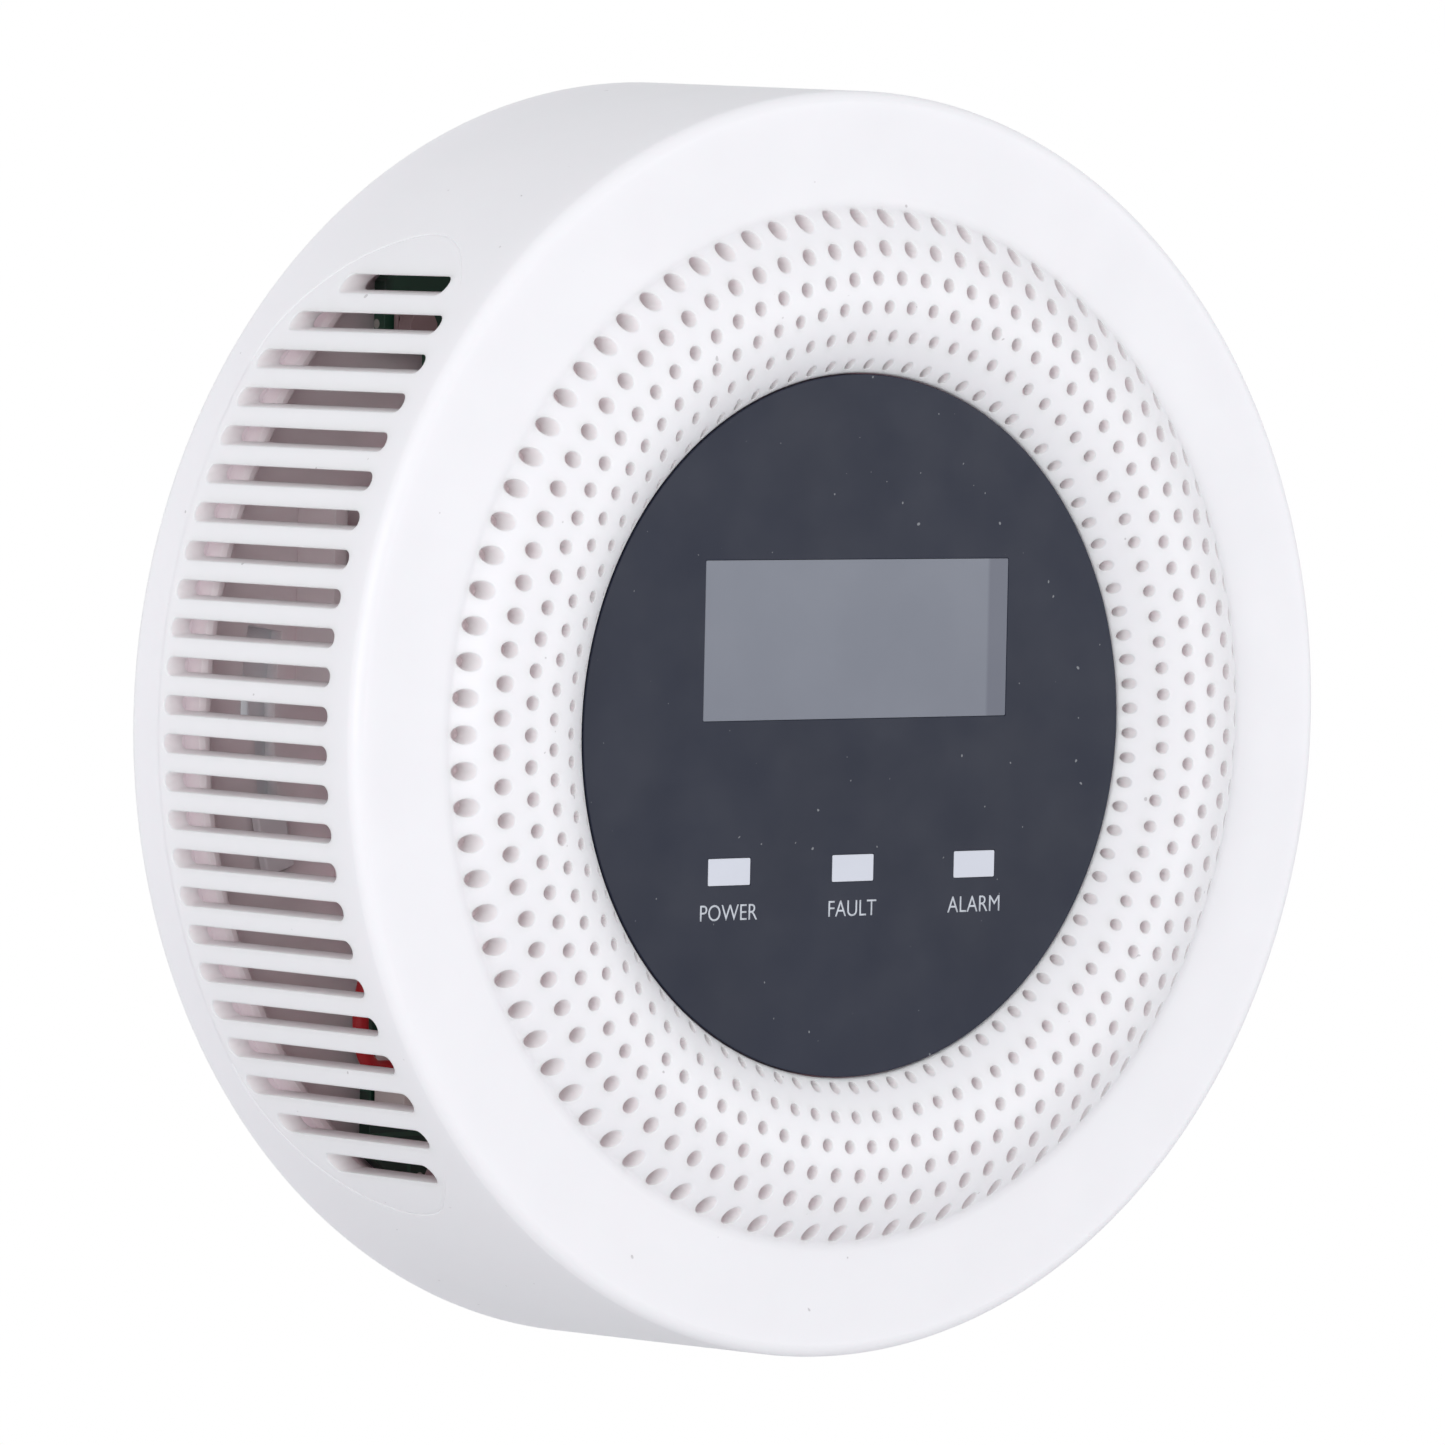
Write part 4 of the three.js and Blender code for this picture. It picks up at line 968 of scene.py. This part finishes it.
def front_shell():
    skin = Skin()
    edge_z = float(face_height(BULGE_IN + 0.2)[0])
    opening = skin.add(around(BULGE_IN + 0.2, edge_z))
    rim = skin.add(around(RIM_R, RING))
    root, under_rim = perforated_face(skin, opening, rim)

    # the opening's rounded edge, the ledge behind the panel, and its root under the bulge
    t = np.arange(AROUND) * 2 * math.pi / AROUND

    def ringwise(v):
        return np.stack([v[0] * np.cos(t), v[0] * np.sin(t), np.full(AROUND, v[1])], 1)

    slope = float(face_height(BULGE_IN + 0.2)[1])
    top_n = unit(np.array((-slope, 1.0)))
    steps = [((BULGE_IN + 0.2, edge_z), top_n)]
    for angle in (25, 50, 75, 90):
        s = math.sin(math.radians(angle))
        k = 1 - math.cos(math.radians(angle))
        steps.append(((BULGE_IN + 0.2 * (1 - s), edge_z - 0.2 * slope * s * 0.6 - 0.22 * k),
                      unit(top_n * (1 - s) + np.array((-1.0, 0.0)) * s)))
    previous = opening
    for (_, normal0), ((r, z), normal1) in zip(steps, steps[1:]):
        ring = skin.add(around(r, z))
        skin.strip(previous, ring, ringwise(normal0), ringwise(normal1))
        previous = ring
    inward = ringwise((-1, 0))
    for (r, z), normal in [((BULGE_IN, LEDGE_TOP), (-1, 0)), ((LEDGE_R, LEDGE_TOP), (0, 1)),
                           ((LEDGE_R, LEDGE_BOTTOM), (-1, 0)), ((LEDGE_ROOT, LEDGE_BOTTOM), (0, -1))]:
        ring = skin.add(around(r, z))
        skin.strip(previous, ring, ringwise(normal), ringwise(normal), 1)
        previous = ring
    skin.strip(previous, root, -inward, -inward, 1)

    # the flat ring and the front fillet
    previous, prev_normal = rim, ringwise((0, 1))
    for r in (50.7, 53.5, R_FRONT - FILLET):
        ring = skin.add(around(r, RING))
        skin.strip(ring, previous, prev_normal, prev_normal)
        previous = ring
    for i in range(1, 8):
        a = math.radians(90 - 90 * i / 7)
        normal = ringwise((math.cos(a), math.sin(a)))
        ring = skin.add(around(R_FRONT - FILLET + FILLET * math.cos(a), RING - FILLET + FILLET * math.sin(a)))
        skin.strip(ring, previous, normal, prev_normal)
        previous, prev_normal = ring, normal
    front_ring = previous

    # the side wall: plain at top and bottom, louvred on both sides
    outer = {WALL_LEVELS[0]: front_ring}
    for z in WALL_LEVELS[1:]:
        last = z == WALL_LEVELS[-1]
        points = around(wall_radius(z), z)
        used = [i for i in range(AROUND) if last or not plain_gap(i)]
        made = skin.add(points[used])
        outer[z] = dict(zip(used, made))
    inner = {}
    for z in WALL_LEVELS:
        used = [i for i in range(AROUND) if z in (WALL_LEVELS[0], WALL_LEVELS[-1]) or not plain_gap(i)]
        ri, zi = wall_inner(inner_level(z)), inner_level(z)
        points = []
        for i in used:
            a = inner_angle(i, z)
            points.append((ri * math.cos(a), ri * math.sin(a), zi))
        inner[z] = dict(zip(used, skin.add(points)))
    wall_normals = unit(ringwise((1, WALL_LEAN)))
    for upper, lower in zip(WALL_LEVELS, WALL_LEVELS[1:]):
        for i in range(AROUND):
            j = (i + 1) % AROUND
            if plain_gap(i + 0.5):
                continue
            skin.face((outer[lower][i], outer[lower][j], outer[upper][j], outer[upper][i]),
                      [wall_normals[i], wall_normals[j], wall_normals[j], wall_normals[i]])
            skin.face((inner[upper][i], inner[upper][j], inner[lower][j], inner[lower][i]),
                      [-wall_normals[i], -wall_normals[j], -wall_normals[j], -wall_normals[i]], 1)
    for side in (1, -1):
        middle = 0 if side > 0 else 180
        columns = [(middle + k) % AROUND for k in range(-ZONE, ZONE + 1)]
        if side < 0:
            columns = columns[::-1]
        first, last = columns[0], columns[-1]
        border = [(i, WALL_LEVELS[0]) for i in columns] + [(last, z) for z in WALL_LEVELS[1:]]
        border += [(i, WALL_LEVELS[-1]) for i in columns[::-1][1:]]
        border += [(first, z) for z in WALL_LEVELS[::-1][1:-1]]
        flat = [(wall_radius(z) * math.sin(math.radians(i)), z) for i, z in border]
        louvred_side(skin, side, flat, [outer[z][i] for i, z in border], [inner[z][i] for i, z in border])

    # the back edge, rounded outside and in, and the front's underside out to the wall
    low = WALL_LEVELS[-1]
    previous = [outer[low][i] for i in range(AROUND)]
    prev_normal = wall_normals
    angles = np.array([inner_angle(i, low) for i in range(AROUND)])
    bevel = EDGE * 0.3
    for r, z, n, use in [(R_BACK - bevel, BACK + bevel, (0.7, -0.7), t), (R_BACK - EDGE, BACK, (0, -1), t),
                         (R_BACK - WALL + EDGE, BACK, (0, -1), angles),
                         (R_BACK - WALL + bevel, BACK + bevel, (-0.7, -0.7), angles)]:
        ring = skin.add(np.stack([r * np.cos(use), r * np.sin(use), np.full(AROUND, z)], 1))
        normal = ringwise(n)
        skin.strip(ring, previous, normal, prev_normal)
        previous, prev_normal = ring, normal
    skin.strip([inner[low][i] for i in range(AROUND)], previous, -wall_normals, prev_normal)
    top = [inner[WALL_LEVELS[0]][i] for i in range(AROUND)]
    down = ringwise((0, -1))
    skin.strip(under_rim, top, down, down, 1)

    # posts inside for the case screws and the display board's screws
    for k in range(1, 5):
        post(skin, middle_of(f"case_screw_{k}"), 3.2, 1.25, 6.8, RING_UNDER + 0.2, 12.6)
    for k in range(1, 5):
        post(skin, middle_of(f"display_screw_{k}"), 2.0, 1.05, LEDGE_BOTTOM - 2.9, LEDGE_BOTTOM + 0.2, 2.9)
    moulding = skin.build("front_shell_moulding", [WHITE, WHITE_INSIDE_PAINTED_GLOW, WHITE_HOLE_PAINTED_LIGHT])
    settle(moulding, "housing", "white_plastic", "front_shell")


def plain_gap(degrees):
    """True strictly inside a louvred side."""
    d = degrees % 180
    return min(d, 180 - d) < ZONE - 1e-6


def post(skin, at, radius, bore, z0, z1, deep):
    """A round post from z0 up to z1, with a blind bore from below."""
    profile = [(radius, z0), (radius, z1), (0, z1), (0, z0 + deep), (bore, z0 + deep), (bore, z0)]
    turn(skin, eased(profile, 0.25), 36, at, 1)


# ---------------------------------------------------------------- display panel, its windows and captions
WINDOW = 36.2, 14.5
INDICATOR = 5.0, 2.5


def display_panel():
    skin = Skin()
    cx, cy = middle_of("lcd_window")
    leds = [(name, *middle_of(f"light_pipe_{name}")) for name in ("power", "fault", "alarm")]
    holes = [rounded_box(cx, cy, *WINDOW, 0.15)] + [rounded_box(x, y, *INDICATOR, 0.1) for _, x, y in leds]
    slab(skin, circle(0, 0, BULGE_IN - 0.09, 300), holes, PANEL_BACK, PANEL_FRONT, 0.1, 0.04)
    for angle in (90, 200, 340):
        t = math.radians(angle)
        for r0, r1, z0, z1 in ((28.0, 29.4, LEDGE_BOTTOM - 1.3, PANEL_BACK + 0.3),
                               (28.0, 30.6, LEDGE_BOTTOM - 1.3, LEDGE_BOTTOM - 0.3)):
            r = (r0 + r1) / 2
            box = rounded_box(0, 0, r1 - r0, 5.0, 0.15)

            def turned(grow, box=box, r=r, t=t):
                p = box(grow) + (r, 0)
                return np.stack([p[:, 0] * math.cos(t) - p[:, 1] * math.sin(t),
                                 p[:, 0] * math.sin(t) + p[:, 1] * math.cos(t)], 1)
            slab(skin, turned, [], z0, z1, 0.12)
    foot, root = PANEL_BACK - 1.25, PANEL_BACK + 0.3
    turn(skin, eased([(2.0, foot), (2.0, root), (0, root), (0, foot)]), 32, middle_of("switch_body"))
    settle(skin.build("display_panel_disc", [PANEL]), "panel", "panel_grey", "display_panel")

    def pane(name, node, x, y, width, height, flange, tail, material, slot):
        body = Skin()
        slab(body, rounded_box(x, y, width - 0.06, height - 0.06, 0.13), [],
             PANEL_BACK - 0.4, PANEL_FRONT - 0.03, 0.03)
        slab(body, rounded_box(x, y, width + 2 * flange, height + 2 * flange, 0.4), [],
             PANEL_BACK - 1.2, PANEL_BACK - 0.3, 0.12)
        if tail:
            slab(body, rounded_box(x, y, width - 0.6, height - 0.6, 0.2), [], PANEL_BACK - 1.1 - tail,
                 PANEL_BACK - 0.8, 0.15)
        settle(body.build(name, [material]), "panel", slot, node)

    pane("display_window", "lcd_window", cx, cy, *WINDOW, 1.9, 0, FILM, "clear_window")
    widths = {"power": 6.7, "fault": 5.7, "alarm": 6.35}
    for name, x, y in leds:
        pane(f"indicator_{name}", f"light_pipe_{name}", x, y, *INDICATOR, 0.7, 1.5, FROSTED, "frosted_window")
        caption(name, x, y - 3.65, widths[name], 1.45)


def caption(name, x, y, width, height):
    """One printed word under its indicator, in Blender's own plain typeface, a hair proud of the panel."""
    text = bpy.data.curves.new(f"caption_{name}", "FONT")
    text.body = name.upper()
    text.align_x, text.align_y = "CENTER", "CENTER"
    text.offset = -0.006
    text.resolution_u = 6
    holder = linked(f"caption_{name}_text", text)
    bpy.context.view_layer.update()
    mesh = bpy.data.meshes.new_from_object(holder.evaluated_get(bpy.context.evaluated_depsgraph_get()))
    bpy.data.objects.remove(holder)
    p = np.array([v.co for v in mesh.vertices])
    lo, hi = p.min(0), p.max(0)
    mid = (lo + hi) / 2
    sx, sy = width / (hi[0] - lo[0]), height / (hi[1] - lo[1])
    bm = bmesh.new()
    bm.from_mesh(mesh)
    bmesh.ops.remove_doubles(bm, verts=bm.verts, dist=1e-5)
    grown = bmesh.ops.extrude_face_region(bm, geom=list(bm.faces))
    top = {v for v in grown["geom"] if isinstance(v, bmesh.types.BMVert)}
    for v in bm.verts:
        px, py = (v.co.x - mid[0]) * sx + x, (v.co.y - mid[1]) * sy + y
        z = PANEL_FRONT + (0.02 if v in top else -0.02)
        v.co = put([(px, py, z)])[0]
    bmesh.ops.recalc_face_normals(bm, faces=bm.faces)
    clean = bpy.data.meshes.new(f"caption_{name}")
    bm.to_mesh(clean)
    bm.free()
    clean.materials.clear()
    clean.materials.append(CAPTION)
    settle(linked(f"caption_{name}", clean), "panel", "frosted_window")


# ---------------------------------------------------------------- leads, springs and cells
def leads():
    for node, material, slot, points in (("lead_red", WIRE_RED, "wire_red", LEAD_RED),
                                         ("lead_black", WIRE_BLACK, "wire_black", LEAD_BLACK)):
        skin = Skin()
        tube(skin, through(points, 12), 0.75, 18)
        settle(skin.build(node + "_wire", [material]), "housing", slot, node)


def springs():
    """Each spring narrows towards its cell, in three and a half turns."""
    for node, cell, side in (("spring_left", "cell_left", 1), ("spring_right", "cell_right", -1)):
        x, _ = middle_of(cell)
        start = span(node)[0 if side > 0 else 1].y
        path = []
        for i in range(141):
            s = i / 140
            a = 2 * math.pi * 3.5 * s
            r = 4.2 - 1.4 * s
            y = start + side * (0.35 + 3.9 * s)
            path.append((x + side * r * math.cos(a), y, cell_z + r * math.sin(a)))
        skin = Skin()
        tube(skin, path, 0.35, 10)
        settle(skin.build(node + "_wire", [NICKEL]), "housing", "nickel", node)


def cells():
    for node, side in (("cell_left", 1), ("cell_right", -1)):
        lo, hi = span(node)
        x, z, r = (lo.x + hi.x) / 2, (lo.z + hi.z) / 2, (hi.x - lo.x) / 2
        length = hi.y - lo.y
        top = length - 1.3
        profile = [
            (0, 0), (4.6, 0), (4.9, 0.25), (5.6, 0.25), (6.3, 0.12), (6.8, 0.2), (r, 0.7), (r, 1.6),
            (r, top - 1.6), (r, top - 0.7), (6.8, top - 0.15), (6.2, top), (5.2, top - 0.25),
            (4.4, top - 0.3), (3.0, top - 0.3), (2.75, top), (2.75, length - 0.35),
            (2.45, length - 0.05), (1.9, length), (0, length),
        ]
        skin = Skin()
        turn(skin, profile, 72)
        spots = np.array(skin.points)
        y = lo.y + spots[:, 2] if side > 0 else hi.y - spots[:, 2]
        skin.points = list(map(tuple, np.stack([x + side * spots[:, 0], y, z - spots[:, 1]], 1)))
        n = np.array(skin.normals, float)
        skin.normals = list(np.stack([side * n[:, 0], side * n[:, 2], -n[:, 1]], 1))
        foot, head = (lo.y, hi.y)[::side]
        wrap = banded(f"cell_wrap_{node}", foot * MM, head * MM, CELL_BANDS)
        radius = np.hypot(spots[:, 0], spots[:, 1])
        skin.materials = [1 if max(radius[i] for i in f) < 5.7 else 0 for f in skin.faces]
        settle(skin.build(node + "_body", [wrap, NICKEL]), "housing", "cell_wrap", node)


GREY_WRAP, GREEN_WRAP, PALE = (0.045, 0.05, 0.065), (0.05, 0.14, 0.16), (0.55, 0.56, 0.56)
CELL_BANDS = [
    (0.0, PALE), (0.02, GREY_WRAP), (0.70, GREY_WRAP), (0.705, GREEN_WRAP), (0.95, GREEN_WRAP), (0.96, PALE),
]

tail_x = span("contact_negative")[0].x - 0.4
contact_y = span("contact_negative")[0].y
strip_z = span("contact_positive")[1].z - 0.6
cell_z = (span("cell_left")[0].z + span("cell_left")[1].z) / 2
board_z = span("lead_connector")[0].z + 2.1
plug_lo, plug_hi = span("lead_connector")
LEAD_RED = [
    (tail_x, contact_y, strip_z), (tail_x - 2, contact_y + 0.6, strip_z), (-25.5, -30, 19),
    (-32, -21.5, 16.5), (-37.6, -19.5, 12.2), (-38.9, -24.5, board_z + 0.3), (-38.6, -29.6, board_z),
    (-37.4, -31.3, board_z), (plug_lo.x - 0.05, -31.5, board_z),
]
LEAD_BLACK = [
    (tail_x, contact_y, cell_z - 0.8), (tail_x - 2, contact_y + 0.8, cell_z - 0.6), (-25, -29, 12.5),
    (-28.5, -22.5, 13), (-33.5, -21, 12), (-34.6, -24.0, board_z + 0.3), (-33.2, -26.6, board_z),
    (-33, plug_hi.y + 0.05, board_z),
]

# ---------------------------------------------------------------- build everything
front_shell()
display_panel()
leads()
springs()
cells()
SCREWS = [(f"{kind}_screw_{k}", STEEL, "screw_steel", width, segments)
          for k in range(1, 5) for kind, width, segments in (("case", 0.18, 3), ("display", 0.14, 2))]
BLACK_PIECES = "sounder_cup", "sounder_lid", "switch_body", "microcontroller", "board_link", "switch_plunger"
CONTACTS = "contact_negative", "contact_positive", "contact_bridge"
LEDS = "led_power", "led_fault", "led_alarm"
for node, material, slot, width, segments in (
    ("wall_plate", PLATE_WHITE, "white_plastic", 0.3, 3),
    ("back_cover", COVER_WHITE, "white_plastic", 0.18, 2),
    ("battery_door", PLATE_WHITE, "white_plastic", 0.2, 3),
    ("lcd_holder", PLATE_WHITE, "white_plastic", 0.15, 2),
    ("co_sensor_cap", SENSOR_WHITE, "white_plastic", 0.2, 3),
    ("co_sensor_can", NICKEL, "nickel", 0.35, 3),
    *SCREWS,
    ("main_board", BOARD, "green_board", 0.08, 1),
    ("display_board", BOARD, "green_board", 0.08, 1),
    *((node, BLACK, "black_plastic", 0.12, 2) for node in BLACK_PIECES),
    *((node, NICKEL, "nickel", 0.08, 2) for node in CONTACTS),
    ("piezo_disc", BRASS, "brass", 0.08, 2),
    ("capacitor", SLEEVE, "capacitor_sleeve", 0.3, 3),
    ("inductor", FERRITE, "ferrite", 0.2, 2),
    ("lead_connector", CONNECTOR, "connector", 0.15, 2),
    ("lcd_glass", LCD, "lcd", 0.12, 2),
    *((node, LED_BODY, "led_body", 0.15, 2) for node in LEDS),
    ("dust_filter", FILTER, "filter_cloth", 0.1, 2),
):
    softened(node, material, slot, width, segments)

# ---------------------------------------------------------------- stage, lights, camera
scene = bpy.context.scene
scene.view_settings.view_transform = "Standard"
scene.view_settings.look = "None"
world = bpy.data.worlds.new("studio")
scene.world = world
world.use_nodes = True
sky = world.node_tree
sky.nodes["Background"].inputs["Color"].default_value = (0.97, 0.98, 1.0, 1)
sky.nodes["Background"].inputs["Strength"].default_value = 0.74
seen = sky.nodes.new("ShaderNodeBackground")
seen.inputs["Color"].default_value = (1, 1, 1, 1)
either = sky.nodes.new("ShaderNodeMixShader")
sky.links.new(sky.nodes.new("ShaderNodeLightPath").outputs["Is Camera Ray"], either.inputs[0])
sky.links.new(sky.nodes["Background"].outputs[0], either.inputs[1])
sky.links.new(seen.outputs[0], either.inputs[2])
sky.links.new(either.outputs[0], sky.nodes["World Output"].inputs["Surface"])

floor_skin = Skin()
turn(floor_skin, [(550, -1), (550, 0), (0, 0), (0, -1)], 96)
FLOOR_Z = -140
floor = bpy.data.meshes.new("floor")
floor_points = [(x * MM, y * MM, (FLOOR_Z + z) * MM) for x, y, z in floor_skin.points]
floor.from_pydata(floor_points, [], floor_skin.faces)
pale = new_look("pale_floor")
clouds = pale.ramp(pale.noise(6), (0.3, (0.79, 0.79, 0.80)), (0.7, (0.81, 0.81, 0.82)))
floor.materials.append(pale.shaded({"Base Color": clouds, "Roughness": 0.9}))
linked("floor", floor)


def softbox(name, azimuth, elevation, distance, size, power):
    """A square area light aimed at the alarm. Azimuth 0 is in front of it, and negative to the left."""
    light = bpy.data.lights.new(name, "AREA")
    light.shape = "SQUARE"
    light.size = size
    light.energy = power
    obj = linked(name, light)
    a, e = math.radians(azimuth), math.radians(elevation)
    back = Vector((math.sin(a) * math.cos(e), -math.cos(a) * math.cos(e), math.sin(e)))
    middle = Vector((0, -0.016, 0))
    obj.location = middle + back * distance
    obj.rotation_mode = "QUATERNION"
    obj.rotation_quaternion = (-back).to_track_quat("-Z", "Y")


softbox("key", -52, 9, 0.8, 0.45, 2.0)
softbox("fill", 40, 5, 0.9, 0.5, 1.3)

CAMERA_FAR = 917.2
AZIMUTH, ELEVATION, ROLL = math.radians(40.065), math.radians(2.805), math.radians(1.158)
level_back = math.cos(ELEVATION)
back = Vector((-math.sin(AZIMUTH) * level_back, -math.cos(AZIMUTH) * level_back, math.sin(ELEVATION)))
level = (-back).cross(Vector((0, 0, 1))).normalized()
upright = level.cross(-back)
right = math.cos(ROLL) * level + math.sin(ROLL) * upright
up = -math.sin(ROLL) * level + math.cos(ROLL) * upright
camera = linked("camera", bpy.data.cameras.new("camera"))
camera.data.sensor_width = 36
camera.data.lens = 251.86
aim = (Vector((0, -(RING - 0.4), 0)) - 11.73 * level + 0.05 * upright) * MM
place = aim + back * CAMERA_FAR * MM
rows = [[v[i] for v in (right, up, back, place)] for i in range(3)]
camera.matrix_world = Matrix((*rows, (0, 0, 0, 1)))
camera.data.clip_start, camera.data.clip_end = 0.05, 10
scene.camera = camera
